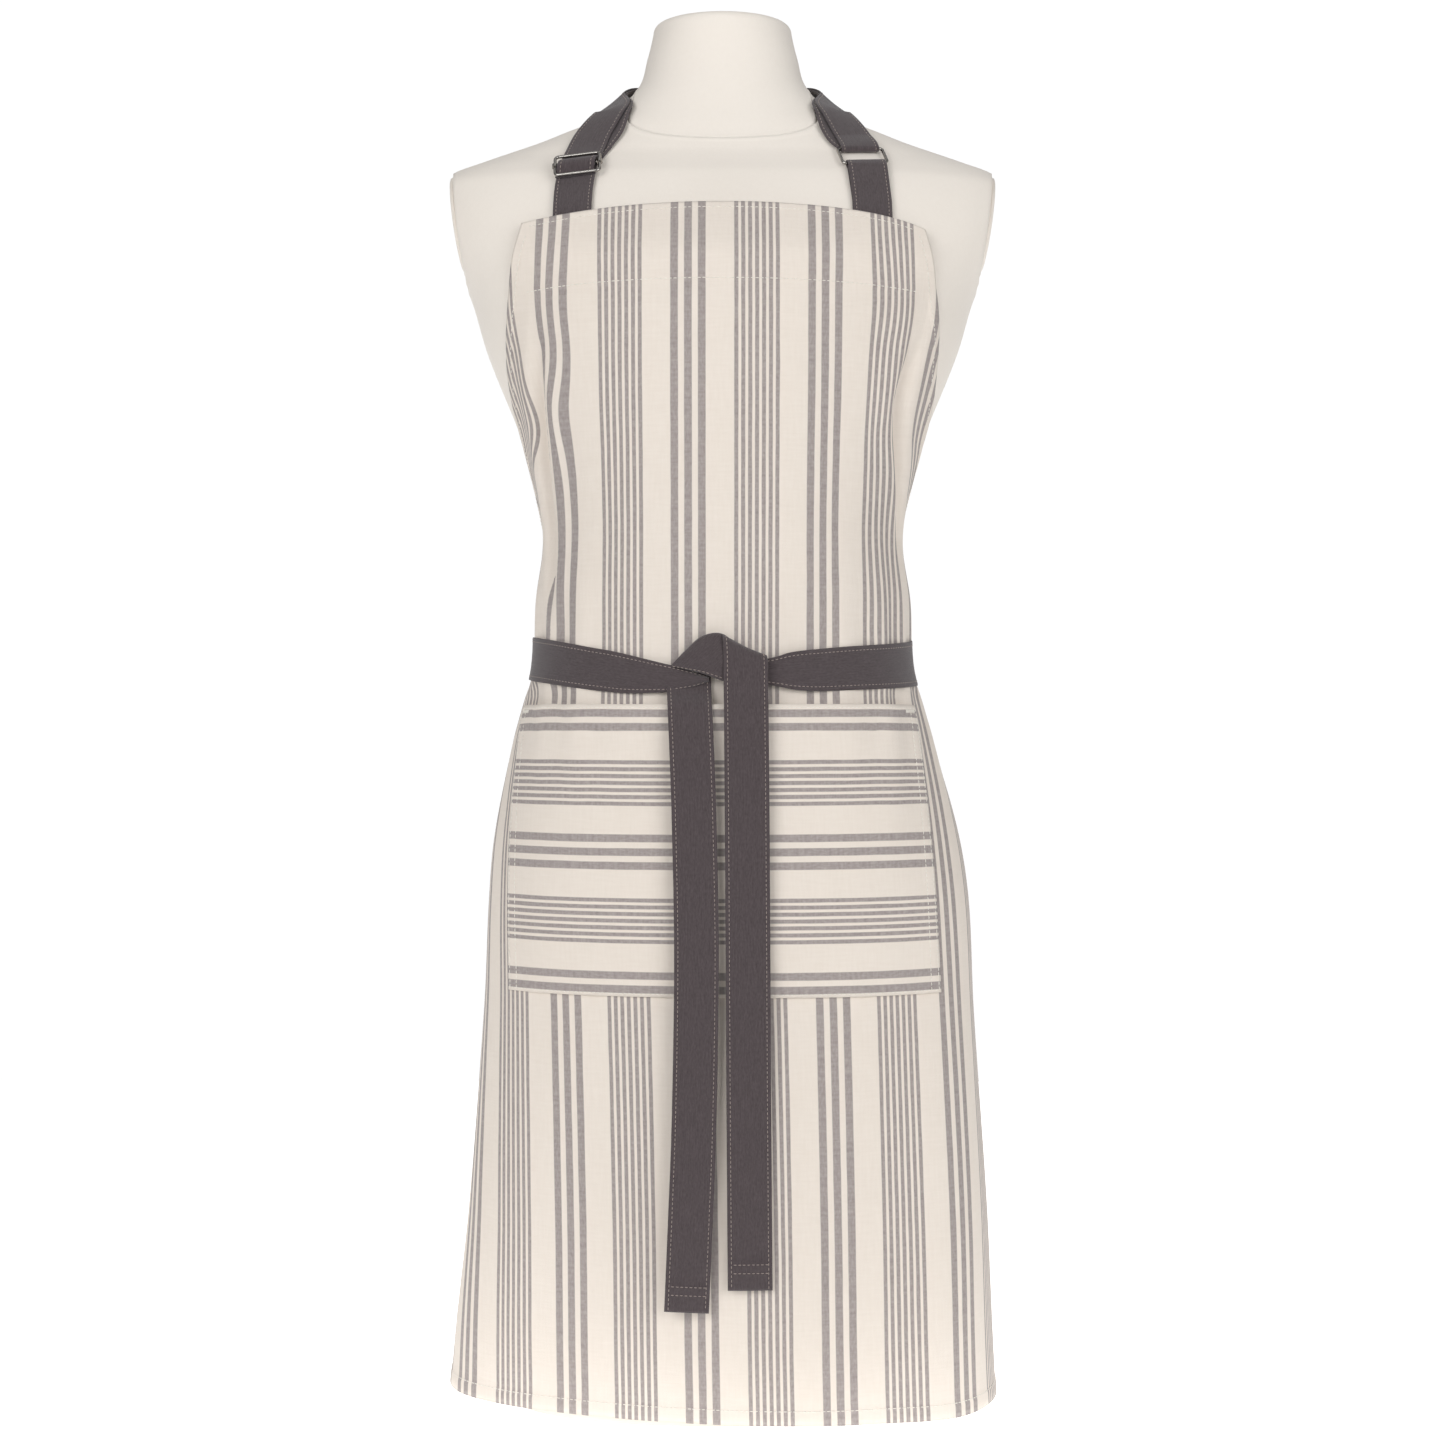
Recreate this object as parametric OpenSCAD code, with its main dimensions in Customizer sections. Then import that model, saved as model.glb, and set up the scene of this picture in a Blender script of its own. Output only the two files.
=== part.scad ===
// Bib apron with an adjustable neck strap, worn on a headless dress form.
// The front faces -Y, +Z is up, and the origin is the mouth of the pole socket
// in the middle of the base. Left and right are those of a viewer in front.

/* [Form] */
// Height of the form, from its base to the flat top of the neck
form_height = 1057; // [1056:1:1058]
// Thickness of the form's moulded wall
shell_wall = 5; // [3:0.5:6]
// Half the width between the two flats under the armhole plates
armhole_flat_x = 205.3; // [204:0.1:206]
// Thickness of an armhole plate
armhole_plate_thickness = 3.5; // [3:0.5:5]
// Thickness of the base board
board_thickness = 12; // [10:1:15]
// Bore diameter of the socket for a stand pole
socket_bore = 32.4; // [30:0.1:35]
// Depth of the socket
socket_depth = 96; // [70:1:110]

/* [Apron] */
// Height of the middle of the bib's top edge
bib_top_z = 897.5; // [896:0.5:900]
// Height of the skirt's hem
hem_z = 8; // [6:1:12]
// Half the flat width of the skirt
skirt_half_width = 357; // [345:1:358]
// Thickness of the woven cloth with its hems
cloth = 1.2; // [0.8:0.1:1.3]

/* [Pocket] */
// Height of the pocket's mouth
pocket_top_z = 529; // [526:1:531]
// Height of the pocket's bottom seam
pocket_bottom_z = 317; // [310:1:322]
// Flat distance from the apron's middle to the pocket's left edge
pocket_left_u = 178; // [165:1:180]
// Flat distance from the apron's middle to the pocket's right edge
pocket_right_u = 163; // [150:1:170]
// How far the mouth of the pocket gapes
pocket_gape = 11; // [10:0.5:11]

/* [Straps] */
// Width of the neck strap
strap_width = 30; // [26:1:31]
// Width of the waist ties
tie_width = 32; // [28:1:32]
// Thickness of the straps and ties
strap = 1.2; // [0.8:0.1:1.2]
// Height of the loose end of the left tail
left_tail_end_z = 91; // [60:1:140]
// Height of the loose end of the right tail
right_tail_end_z = 107; // [60:1:140]

/* [Hardware] */
// Diameter of the wire of the slider and the ring
wire_d = 2.4; // [2:0.1:2.4]
// Width of the slider, across the strap
slider_wide = 36; // [35:0.5:38]
// Height of the slider, along the strap
slider_tall = 23; // [20:0.5:23.5]
// Width of the ring, across the strap
ring_wide = 37; // [36:0.5:38]
// Height of the ring, along the strap
ring_tall = 21; // [19:0.5:22]

/* [Hidden] */

form_colour = "#e9e1d8";
cloth_colour = "#e6dbcf";
strap_colour = "#544c4e";
metal_colour = "#c3c3c0";
wood_colour = "#c09a6b";

// Horizontal sections of the form: height, half width, depth in front, depth behind
form_sections = [
    [0, 166, 106, 116], [150, 171, 112, 124], [300, 174, 117, 134], [430, 172, 119, 138],
    [500, 160, 115, 128], [560, 143, 106, 112], [650, 136, 98, 97], [690, 141, 103, 98],
    [730, 153, 112, 104], [800, 181, 134, 112], [850, 197, 130, 113], [890, 222, 110, 108],
    [926, 226, 88, 94], [938, 212, 77, 88], [946, 191, 70, 84], [953, 171, 66, 79],
    [961, 148, 62, 76], [969, 128, 59, 73], [984, 92, 54, 66], [1007, 66, 49, 57],
    [1031, 58, 48, 53], [1050, 53, 52, 52], [1058, 53, 52, 52]
];
// Sections of the cloth where it hangs free of the form, in the same columns
drape_sections = [
    [8, 209, 124, 112], [150, 199, 124, 118], [300, 188.5, 124, 126], [380, 185, 123.5, 134],
    [430, 179, 122, 139], [495, 163, 118, 130.5], [534, 152, 111, 121], [560, 145, 108, 115],
    [610, 144, 113, 109], [655, 139.5, 118, 106], [700, 145, 124, 104], [800, 182, 136, 113],
    [905, 182, 100, 113]
];
// Half the flat width of the apron at a height: skirt, curved side, bib
side_edge = [
    [555, 357], [562, 352], [575, 330], [600, 290], [650, 245], [704, 215], [760, 193],
    [801, 178], [850, 164], [885, 150], [898, 148]
];
// The neck seam: its lowest point in front, its rise to the sides and from there to the back
seam_front = 956;
seam_rise = 50;
seam_back = 14;
neck_top_z = form_height - 7;
neck_cap_r = 52;
// The flats under the armhole plates lean out at the top by this much for each mm of height
armhole_lean = 0.12;
armhole_z = 902;

// Grid of the form's skins
around = 52;
torso_rows = [
    0, 80, 160, 240, 310, 370, 430, 470, 500, 530, 560, 600, 650, 690, 730, 765, 800, 828,
    855, 878, 900, 920, 940
];
seam_steps = 8;
neck_steps = 8;

// Grid of the cloth
cloth_rows = [
    8, 60, 120, 180, 240, 300, 350, 400, 440, 475, 500, 520, 540, 555, 562, 575, 600, 630,
    665, 704, 740, 770, 801, 830, 858
];
top_steps = 3;
cloth_columns = 34;
arc_steps = 30;

// Layers over the form: where the straps lie, and the room they need under the bib
under_run = 1.4;
over_run = 3.2;
bib_gap = 6.8;
cloth_gap = 1.4;

// The strap's path on one side: across the chest as [x, z], round the neck as [angle, z]
strap_chest = [
    [110, 868], [110, 884], [110, 901], [109, 916], [107, 928], [104.3, 938], [101.5, 947],
    [97.5, 957], [92, 966], [86, 974], [80, 981]
];
strap_neck = [[-12, 989], [8, 994], [28, 997], [50, 1000], [70, 1002], [90, 1003]];
// Extra room where the strap bridges the hollow between shoulder and neck
strap_lift = [[952, 0], [966, 1.2], [980, 3], [1010, 3.2]];
slider_at = [107, 928];
// Turn of the slider about its own face: its end near the neck is the higher one
slider_turn = 15;
ring_at = [104.3, 938];
ring_lift = 3.45;
slider_lift = over_run + strap / 2 + 2.6;

// Length of a bar tack
tack_long = 11;

// Waist ties
tie_z_front = 556;
tie_z_back = 567;
tie_under = cloth + 1;
tie_over = tie_under + 2.6;
tie_start = 57;
tie_end = 263;
cross_rise = tie_width / 2 + 1.2;
cross_half = 25;

// Knot and tails
knot_left = -21.5;
knot_right = 23.5;
knot_low = 541;
knot_high = 581;
knot_back_y = -112;
knot_front_y = -121;
// Side view of each tail's back face: [z, y]
left_tail_line = [[539.6, -119.8], [529, -127.6], [500, -132.4], [450, -135]];
right_tail_line = [[576, -121.6], [545, -122.6], [529, -127.8], [500, -132.4], [450, -135]];
tail_y = -135.6;
left_tail_x = -23.5;
right_tail_x = 17;

// Base
block_x = 95;
block_y = 48;
block_size = [34, 24, 24];
screw_r = 2;
screw_head_r = 4;
hole_play = 0.05;
socket_wall = 2.6;
flange_r = 42;
flange_thickness = 3;
flange_screw_circle = 31;

// ---- Curves ----

// Index of the last row of a table that starts at or below x
function row_below(table, x) =
    len([for (i = [1:len(table) - 2]) if (table[i][0] <= x) i]);

// Slope of column c at row i, from its neighbours
function slope(table, i, c) =
    let(low = max(i - 1, 0), high = min(i + 1, len(table) - 1))
    (table[high][c] - table[low][c]) / (table[high][0] - table[low][0]);

// Smooth value of column c of a table, at x
function smooth_at(table, x, c) =
    let(
        i = row_below(table, x),
        h = table[i + 1][0] - table[i][0],
        s = min(1, max(0, (x - table[i][0]) / h))
    )
    table[i][c] * (1 + 2 * s) * pow(1 - s, 2) + slope(table, i, c) * h * s * pow(1 - s, 2)
    + table[i + 1][c] * s * s * (3 - 2 * s) - slope(table, i + 1, c) * h * s * s * (1 - s);

function squareness(z) = lookup(z, [[950, 2.3], [1005, 2]]);

// Point of a section with half width a, front depth f and back depth b; angle -90 is
// the front, 0 the right side and 90 the back
function section_point(a, f, b, n, angle) = [
    sign(cos(angle)) * a * pow(abs(cos(angle)), 2 / n),
    sign(sin(angle)) * (sin(angle) < 0 ? f : b) * pow(abs(sin(angle)), 2 / n)
];

function form_size(z, c) = smooth_at(form_sections, z, c);

// Point of the form's skin, moved out by d
function form_point(angle, z, d = 0) =
    let(
        p = section_point(
            form_size(z, 1) + d, form_size(z, 2) + d, form_size(z, 3) + d, squareness(z), angle
        ),
        flat = armhole_flat_x + armhole_lean * (max(z, 856) - 930) + d
    )
    [min(flat, max(-flat, p.x)), p.y, z];

// Outward normal of the form's skin
function form_normal(angle, z) =
    let(
        across = form_point(angle + 1, z) - form_point(angle - 1, z),
        up = form_point(angle, z + 2) - form_point(angle, z - 2),
        n = cross(across, up)
    )
    n / norm(n);

// Angle at which the front of the form has the half width x
function front_angle(x, z) = -acos(pow(x / form_size(z, 1), squareness(z) / 2));

// Size of the cloth's section: the form's where it rests on it, the drape's elsewhere
function bib_room(z) = cloth_gap + (bib_gap - cloth_gap) * min(1, max(0, (z - 835) / 30));
function cloth_size(z, c) =
    max(form_size(z, c) + bib_room(z), smooth_at(drape_sections, z, c));

// Section of the cloth from the front to the back as [distance along it, x, y]
function cloth_arc(z, d) =
    let(
        a = cloth_size(z, 1) + d,
        f = cloth_size(z, 2) + d,
        b = cloth_size(z, 3) + d,
        p = [
            for (i = [0:arc_steps])
                section_point(a, f, b, squareness(z), -90 + 180 * i / arc_steps)
        ]
    )
    [
        for (i = 0, s = 0; i <= arc_steps; s = s + norm(p[min(i + 1, arc_steps)] - p[i]), i = i + 1)
            [s, p[i].x, p[i].y]
    ];

// Point at the flat distance u from the apron's middle, on a ready arc
function on_arc(arc, u, z) = [
    sign(u) * lookup(abs(u), [for (p = arc) [p[0], p[1]]]),
    lookup(abs(u), [for (p = arc) [p[0], p[2]]]),
    z
];
function cloth_point(u, z, d) = on_arc(cloth_arc(z, d), u, z);

function half_width(z) =
    min(skirt_half_width, smooth_at(side_edge, min(bib_top_z, max(555, z)), 1));

// Height of the bib's top edge, which falls towards its corners
function top_edge(u) = bib_top_z - 13 * pow(u / 148, 2) - 5 * pow(max(0, u) / 148, 8);

// ---- Solids from grids ----

function quad(a, b, c, d) = [[a, b, c], [a, c, d]];

// Faces of a sheet with two skins of rows x columns points; closed joins its two sides
function sheet_faces(rows, columns, closed) =
    let(
        last = closed ? columns - 1 : columns - 2,
        back = rows * columns,
        top = (rows - 1) * columns
    )
    [
        for (i = [0:rows - 2], j = [0:last])
            let(p = i * columns + j, q = i * columns + (j + 1) % columns)
            each concat(
                quad(p, p + columns, q + columns, q),
                quad(back + p, back + q, back + q + columns, back + p + columns)
            ),
        for (j = [0:last])
            let(q = (j + 1) % columns)
            each concat(
                quad(j, q, back + q, back + j),
                quad(top + q, top + j, back + top + j, back + top + q)
            ),
        if (!closed)
            for (i = [0:rows - 2])
                let(p = i * columns, q = p + columns - 1)
                each concat(
                    quad(p + columns, p, back + p, back + p + columns),
                    quad(q, q + columns, back + q + columns, back + q)
                )
    ];

module sheet_solid(outer, inner, closed = false) {
    polyhedron(
        points = [for (row = outer) each row, for (row = inner) each row],
        faces = sheet_faces(len(outer), len(outer[0]), closed)
    );
}

// Ribbon along a route of [point, normal]
module ribbon(route, width, thickness) {
    last = len(route) - 1;
    function edge(i, side, lift) =
        let(
            tangent = route[min(i + 1, last)][0] - route[max(i - 1, 0)][0],
            w = cross(tangent, route[i][1])
        )
        route[i][0] + side * width / 2 * w / norm(w) + lift * route[i][1];
    sheet_solid(
        [for (i = [0:last]) [edge(i, -1, thickness / 2), edge(i, 1, thickness / 2)]],
        [for (i = [0:last]) [edge(i, -1, -thickness / 2), edge(i, 1, -thickness / 2)]]
    );
}

// ---- The form ----

function seam_height(angle) =
    seam_front + seam_rise * (1 - pow(max(0, -sin(angle)), 2))
    + seam_back * pow(max(0, sin(angle)), 2);

module form_skin(heights, wall_out, wall_in) {
    sheet_solid(
        [for (row = heights) [
            for (j = [0:around - 1]) let(angle = 360 * j / around - 90)
                form_point(angle, row[0] + row[1] * (seam_height(angle) - row[0]) + row[2], wall_out)
        ]],
        [for (row = heights) [
            for (j = [0:around - 1]) let(angle = 360 * j / around - 90)
                form_point(angle, row[0] + row[1] * (seam_height(angle) - row[0]) + row[2], wall_in)
        ]],
        closed = true
    );
}

// Rows are [level height, share of the way to the seam, extra height]
module torso_shell() {
    last = torso_rows[len(torso_rows) - 1];
    color(form_colour)
        form_skin(
            concat(
                [for (z = torso_rows) [z, 0, 0]],
                [for (k = [1:seam_steps]) [last, k / seam_steps, 0]]
            ),
            0, -shell_wall
        );
}

module neck_block() {
    color(form_colour)
        form_skin(
            [for (k = [0:neck_steps]) [neck_top_z, 1 - k / neck_steps, k == 0 ? 0.3 : 0]],
            0, -shell_wall
        );
}

// Turned disc that closes the neck
module neck_cap() {
    edge_r = 5;
    color(form_colour)
        translate([0, 0, neck_top_z + 0.3])
            rotate_extrude($fn = 96) {
                square([neck_cap_r - edge_r, form_height - neck_top_z - 0.3]);
                square([neck_cap_r, form_height - neck_top_z - 0.3 - edge_r]);
                translate([neck_cap_r - edge_r, form_height - neck_top_z - 0.3 - edge_r])
                    intersection() {
                        circle(r = edge_r, $fn = 48);
                        square(edge_r);
                    }
            }
}

// Oval plate on the flat side of the shoulder
module armhole_plate() {
    color(form_colour)
        translate([armhole_flat_x + armhole_lean * (armhole_z - 930) + 0.3, 0, armhole_z])
            rotate([0, atan(armhole_lean), 0])
                rotate([90, 0, 90])
                    linear_extrude(armhole_plate_thickness)
                        polygon([for (i = [0:47]) [47 * cos(i * 7.5), 36 * sin(i * 7.5)]]);
}

module armhole_plate_left() {
    mirror([1, 0, 0])
        armhole_plate();
}

module armhole_plate_right() {
    armhole_plate();
}

module base_points() {
    for (x = [-block_x, block_x], y = [-block_y, block_y])
        translate([x, y, 0])
            children();
}

module flange_points() {
    for (a = [45:90:315])
        rotate(a)
            translate([flange_screw_circle, 0, 0])
                children();
}

module base_board() {
    play = shell_wall + 0.5;
    color(wood_colour)
        difference() {
            linear_extrude(board_thickness)
                polygon([
                    for (j = [0:71])
                        let(p = form_point(j * 5, 0, -play))
                        [p.x, p.y]
                ]);
            translate([0, 0, -1])
                cylinder(r = socket_bore / 2 + socket_wall + hole_play, h = board_thickness + 2, $fn = 64);
            base_points()
                screw(hole_play, board_thickness + 1);
            flange_points()
                translate([0, 0, board_thickness - 9])
                    cylinder(r = screw_r + hole_play, h = 10, $fn = 24);
        }
}

// Countersunk screw from below, with its head flush at z = 0
module screw(play, length) {
    rotate_extrude($fn = 32)
        polygon([
            [0, 0], [screw_head_r + play, 0], [screw_head_r + play, 0.6],
            [screw_r + play, 3.2], [screw_r + play, length], [0, length]
        ]);
}

module fixing_blocks() {
    color(wood_colour)
        base_points()
            translate([0, 0, board_thickness])
                difference() {
                    translate([-block_size.x / 2, -block_size.y / 2, 0])
                        cube(block_size);
                    translate([0, 0, -1])
                        cylinder(r = screw_r + hole_play, h = 19, $fn = 32);
                }
}

module base_screws() {
    color(metal_colour)
        base_points()
            screw(0, board_thickness + 16);
}

module pole_socket() {
    r = socket_bore / 2;
    color(metal_colour)
        difference() {
            union() {
                cylinder(r = r + socket_wall, h = socket_depth + 3, $fn = 64);
                translate([0, 0, board_thickness])
                    cylinder(r = flange_r, h = flange_thickness, $fn = 64);
            }
            translate([0, 0, -1])
                cylinder(r = r, h = socket_depth + 1, $fn = 64);
            flange_points()
                translate([0, 0, board_thickness - 1])
                    cylinder(r = screw_r + hole_play, h = flange_thickness + 2, $fn = 24);
        }
}

module socket_screws() {
    color(metal_colour)
        flange_points()
            translate([0, 0, board_thickness - 8]) {
                cylinder(r = screw_r, h = 8 + flange_thickness, $fn = 24);
                translate([0, 0, 8 + flange_thickness])
                    cylinder(r = screw_head_r, h = 2.2, $fn = 24);
            }
}

// ---- The apron ----

// Rows of the panel: level rows, then rows that run up to the sloping top edge
function panel_skin(d) =
    let(last = cloth_rows[len(cloth_rows) - 1])
    [
        for (z = cloth_rows)
            let(arc = cloth_arc(max(z, hem_z), d), w = half_width(z))
            [for (j = [0:cloth_columns]) on_arc(arc, w * (2 * j / cloth_columns - 1), max(z, hem_z))],
        for (k = [1:top_steps])
            [
                for (j = [0:cloth_columns])
                    let(
                        side = 2 * j / cloth_columns - 1,
                        z = last + k / top_steps * (top_edge(148 * side) - last)
                    )
                    cloth_point(half_width(z) * side, z, d)
            ]
    ];

module apron_panel() {
    color(cloth_colour)
        sheet_solid(panel_skin(cloth), panel_skin(0));
}

// Gap behind the pocket: sewn down at both sides and at the bottom
function pocket_gap(across, up) =
    (1 - pow(abs(across), 8)) * min(1, up * 6) * (7.5 + (pocket_gape - 7.5) * up * up);

function pocket_skin(d) =
    let(columns = 22, rows = 12)
    [
        for (i = [0:rows])
            let(up = i / rows, z = pocket_bottom_z + up * (pocket_top_z - pocket_bottom_z))
            [
                for (j = [0:columns])
                    let(
                        across = 2 * j / columns - 1,
                        u = across < 0 ? across * pocket_left_u : across * pocket_right_u
                    )
                    cloth_point(u, z, cloth + 0.6 + pocket_gap(across, up) + d)
            ]
    ];

module pocket_panel() {
    color(cloth_colour)
        sheet_solid(pocket_skin(cloth), pocket_skin(0));
}

// Bar tack near one of the pocket's top corners: a short close row of stitches
module bartack(edge_u, low_u) {
    tack_tall = 2.4;
    function tack_skin(d) = [
        for (side = [0, 1])
            [
                for (k = [0:2])
                    let(u = low_u + k * tack_long / 2)
                    cloth_point(u, pocket_top_z - 4 - tack_tall * (1 - side),
                        2 * cloth + 0.8 + pocket_gap(u / edge_u, 1) + d)
            ]
    ];
    color(cloth_colour)
        sheet_solid(tack_skin(0.8), tack_skin(0));
}

module pocket_bartacks() {
    in_from_edge = 5;
    bartack(pocket_left_u, -pocket_left_u + in_from_edge);
    bartack(pocket_right_u, pocket_right_u - in_from_edge - tack_long);
}

// ---- Neck strap ----

// One point of the strap: place on the form's skin lifted by d, and the normal there
function strap_point(angle, z, d) =
    let(n = form_normal(angle, z))
    [form_point(angle, z) + (d + lookup(z, strap_lift)) * n, n];
function chest_run(d, first = 0) = [
    for (i = [first:len(strap_chest) - 1])
        strap_point(front_angle(strap_chest[i].x, strap_chest[i].y), strap_chest[i].y, d)
];
function neck_run(d) = [for (p = strap_neck) strap_point(p.x, p.y, d)];
function side_run(d, first = 0) = concat(chest_run(d, first), neck_run(d));
function mirrored(route) = [
    for (p = route) [[-p[0].x, p[0].y, p[0].z], [-p[1].x, p[1].y, p[1].z]]
];
function backwards(route) = [for (i = [len(route) - 1:-1:0]) route[i]];
function turned_over(route) = [for (p = route) [p[0], -p[1]]];
function without_last(route) = [for (i = [0:len(route) - 2]) route[i]];

// Place, normal and direction of a piece of hardware that lies on the strap
function hardware_normal(at) = form_normal(front_angle(at.x, at.y), at.y);
function hardware_dir(at) =
    let(
        low = form_point(front_angle(at.x + 1.5, at.y - 6), at.y - 6),
        high = form_point(front_angle(at.x - 2, at.y + 6), at.y + 6),
        n = hardware_normal(at),
        d = (high - low) - ((high - low) * n) * n
    )
    d / norm(d);
function hardware_place(at, lift) =
    form_point(front_angle(at.x, at.y), at.y) + lift * hardware_normal(at);

// Half turn of ribbon round a bar of the ring; side is 1 for the upper bar
function bar_turn(side) =
    let(
        n = hardware_normal(ring_at),
        dir = hardware_dir(ring_at),
        bar = hardware_place(ring_at, ring_lift) + side * (ring_tall - wire_d) / 2 * dir,
        r = ring_lift - under_run
    )
    concat(
        [[bar + r * n + side * 5 * dir, n]],
        [
            for (a = [0:22.5:180])
                let(out = cos(a) * n - side * sin(a) * dir)
                [bar + r * out, out]
        ],
        [[bar - r * n + side * 5 * dir, -n]]
    );

// One long strap: from the bib's left corner round the neck to the ring, round its upper
// bar, and back round the neck to the slider
module neck_strap() {
    above_ring = 8;
    above_slider = 6;
    color(strap_colour)
        ribbon(
            concat(
                without_last(mirrored(side_run(over_run))),
                backwards(side_run(over_run, above_ring - 1)),
                bar_turn(1),
                turned_over(without_last(side_run(under_run, above_ring - 1))),
                turned_over(backwards(mirrored(side_run(under_run, above_slider - 1))))
            ),
            strap_width, strap
        );
}

// Short tab from the bib's right corner, doubled round the ring's lower bar
module ring_tab() {
    layers = 2;
    color(strap_colour)
        ribbon(
            concat(
                [for (i = [0:2]) chest_run(over_run)[i]],
                bar_turn(-1),
                turned_over(backwards([for (i = [0:layers]) chest_run(under_run)[i]]))
            ),
            strap_width, strap
        );
}

// Lays children on the strap: local X runs up the strap, local Z points out
module on_strap(at, lift) {
    n = hardware_normal(at);
    dir = hardware_dir(at);
    place = hardware_place(at, lift);
    lean = acos(n.z);
    heading = atan2(n.y, n.x);
    side = [cos(lean) * cos(heading), cos(lean) * sin(heading), -sin(lean)];
    other = [-sin(heading), cos(heading), 0];
    translate(place)
        rotate([0, lean, heading])
            rotate([0, 0, atan2(dir * other, dir * side)])
                children();
}

// Wire bent to a rectangle, long across local Y
module wire_rectangle(tall, wide) {
    r = wire_d / 2;
    bend = 3;
    x = tall / 2 - r;
    y = wide / 2 - r;
    for (s = [-1, 1]) {
        translate([s * x, -y + bend, 0])
            rotate([-90, 0, 0])
                cylinder(r = r, h = 2 * (y - bend), $fn = 24);
        translate([-x + bend, s * y, 0])
            rotate([0, 90, 0])
                cylinder(r = r, h = 2 * (x - bend), $fn = 24);
    }
    for (q = [0:3])
        translate([(q == 0 || q == 3 ? 1 : -1) * (x - bend), (q < 2 ? 1 : -1) * (y - bend), 0])
            rotate(90 * q)
                rotate_extrude(angle = 90, $fn = 48)
                    translate([bend, 0])
                        circle(r = r, $fn = 24);
}

module strap_ring() {
    color(metal_colour)
        on_strap(ring_at, ring_lift)
            wire_rectangle(ring_tall, ring_wide);
}

module on_slider() {
    mirror([1, 0, 0])
        on_strap(slider_at, slider_lift)
            rotate(-slider_turn)
                children();
}

module slider_frame() {
    color(metal_colour)
        on_slider()
            wire_rectangle(slider_tall, slider_wide);
}

// Middle bar, with an eye round each side of the frame
module slider_bar() {
    rail_y = (slider_wide - wire_d) / 2;
    eye_r = wire_d / 2 + 1;
    color(metal_colour)
        on_slider()
            difference() {
                union() {
                    translate([0, -rail_y, 0])
                        rotate([-90, 0, 0])
                            cylinder(r = 1.1, h = 2 * rail_y, $fn = 24);
                    for (s = [-1, 1])
                        translate([-1.6, s * rail_y, 0])
                            rotate([0, 90, 0])
                                cylinder(r = eye_r, h = 3.2, $fn = 32);
                }
                for (s = [-1, 1])
                    translate([-3, s * rail_y, 0])
                        rotate([0, 90, 0])
                            cylinder(r = wire_d / 2 + hole_play, h = 6, $fn = 32);
            }
}

// Sewn end of the strap, a sleeve round the middle bar
module slider_sleeve() {
    long = slider_wide - 2 * wire_d - 5;
    color(strap_colour)
        on_slider()
            translate([0, -long / 2, 0])
                rotate([-90, 0, 0])
                    difference() {
                        cylinder(r = 2.1, h = long, $fn = 32);
                        translate([0, 0, -1])
                            cylinder(r = 1.1 + hole_play, h = long + 2, $fn = 32);
                    }
}

// ---- Waist ties ----

function blend_between(x, low, high) = min(1, max(0, (x - low) / (high - low)));

// Height of the tie's middle line; the two ties pass each other at the back
function tie_height(angle, pass) =
    tie_z_front + (tie_z_back - tie_z_front) * blend_between(abs(angle - 90), 170, 60)
    + (abs(angle - 90) < cross_half
        ? pass * cross_rise * (1 + cos(180 * (angle - 90) / cross_half)) / 2
        : 0);

// Layer of the tie: over the other tie once it has passed it
function tie_layer(angle) =
    tie_under + (tie_over - tie_under)
    * blend_between(angle, 86, 94) * (1 - blend_between(angle, 126, 142));

function tie_edge(angle, z, d) =
    let(p = section_point(cloth_size(z, 1) + d, cloth_size(z, 2) + d, cloth_size(z, 3) + d,
        squareness(z), angle))
    [p.x, p.y, z];

// Sewn at the right back edge of the apron, it runs behind to the left and to the knot
module tie_band(pass) {
    angles = [
        each [tie_start:4:81], 86, 90, 94, each [98:4:126], 134, 142, each [150:8:254], tie_end
    ];
    function tie_skin(d) = [
        for (a = angles)
            [
                for (half = [1, -1])
                    tie_edge(a, tie_height(a, pass) + half * tie_width / 2, tie_layer(a) + d)
            ]
    ];
    color(strap_colour)
        sheet_solid(tie_skin(strap), tie_skin(0));
}

module waist_tie_right() {
    tie_band(1);
}

module waist_tie_left() {
    mirror([1, 0, 0])
        tie_band(-1);
}

// The half knot, drawn as the space it fills
module tie_knot() {
    color(strap_colour)
        translate([0, knot_back_y, 0])
            rotate([90, 0, 0])
                linear_extrude(knot_back_y - knot_front_y)
                    polygon([
                        [knot_left, knot_low], [knot_right, knot_low + 3], [knot_right, knot_high - 12],
                        [6, knot_high], [-10, knot_high - 2], [knot_left, knot_low + 22]
                    ]);
}

// Loose tail: a ribbon that follows a side line and then hangs straight
module tail(line, x, end_z, end_shift) {
    below = [for (k = [1:4]) [450 + (end_z - 450) * k / 4, tail_y]];
    points = concat(line, below);
    last = len(points) - 1;
    function down(i) = points[min(i + 1, last)] - points[max(i - 1, 0)];
    function shift(z) = end_shift * max(0, (450 - z) / (450 - end_z));
    color(strap_colour)
        ribbon(
            [
                for (i = [0:last])
                    let(
                        step = down(i),
                        n = [0, step[0], -step[1]] / norm(step)
                    )
                    [[x + shift(points[i][0]), points[i][1], points[i][0]] + strap / 2 * n, n]
            ],
            tie_width, strap
        );
}

module tie_tail_left() {
    tail(left_tail_line, left_tail_x, left_tail_end_z, -2);
}

module tie_tail_right() {
    tail(right_tail_line, right_tail_x, right_tail_end_z, 3);
}

torso_shell();
neck_block();
neck_cap();
armhole_plate_left();
armhole_plate_right();
base_board();
fixing_blocks();
base_screws();
pole_socket();
socket_screws();
apron_panel();
pocket_panel();
pocket_bartacks();
neck_strap();
ring_tab();
strap_ring();
slider_frame();
slider_bar();
slider_sleeve();
waist_tie_left();
waist_tie_right();
tie_knot();
tie_tail_left();
tie_tail_right();
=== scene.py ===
import math

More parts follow.
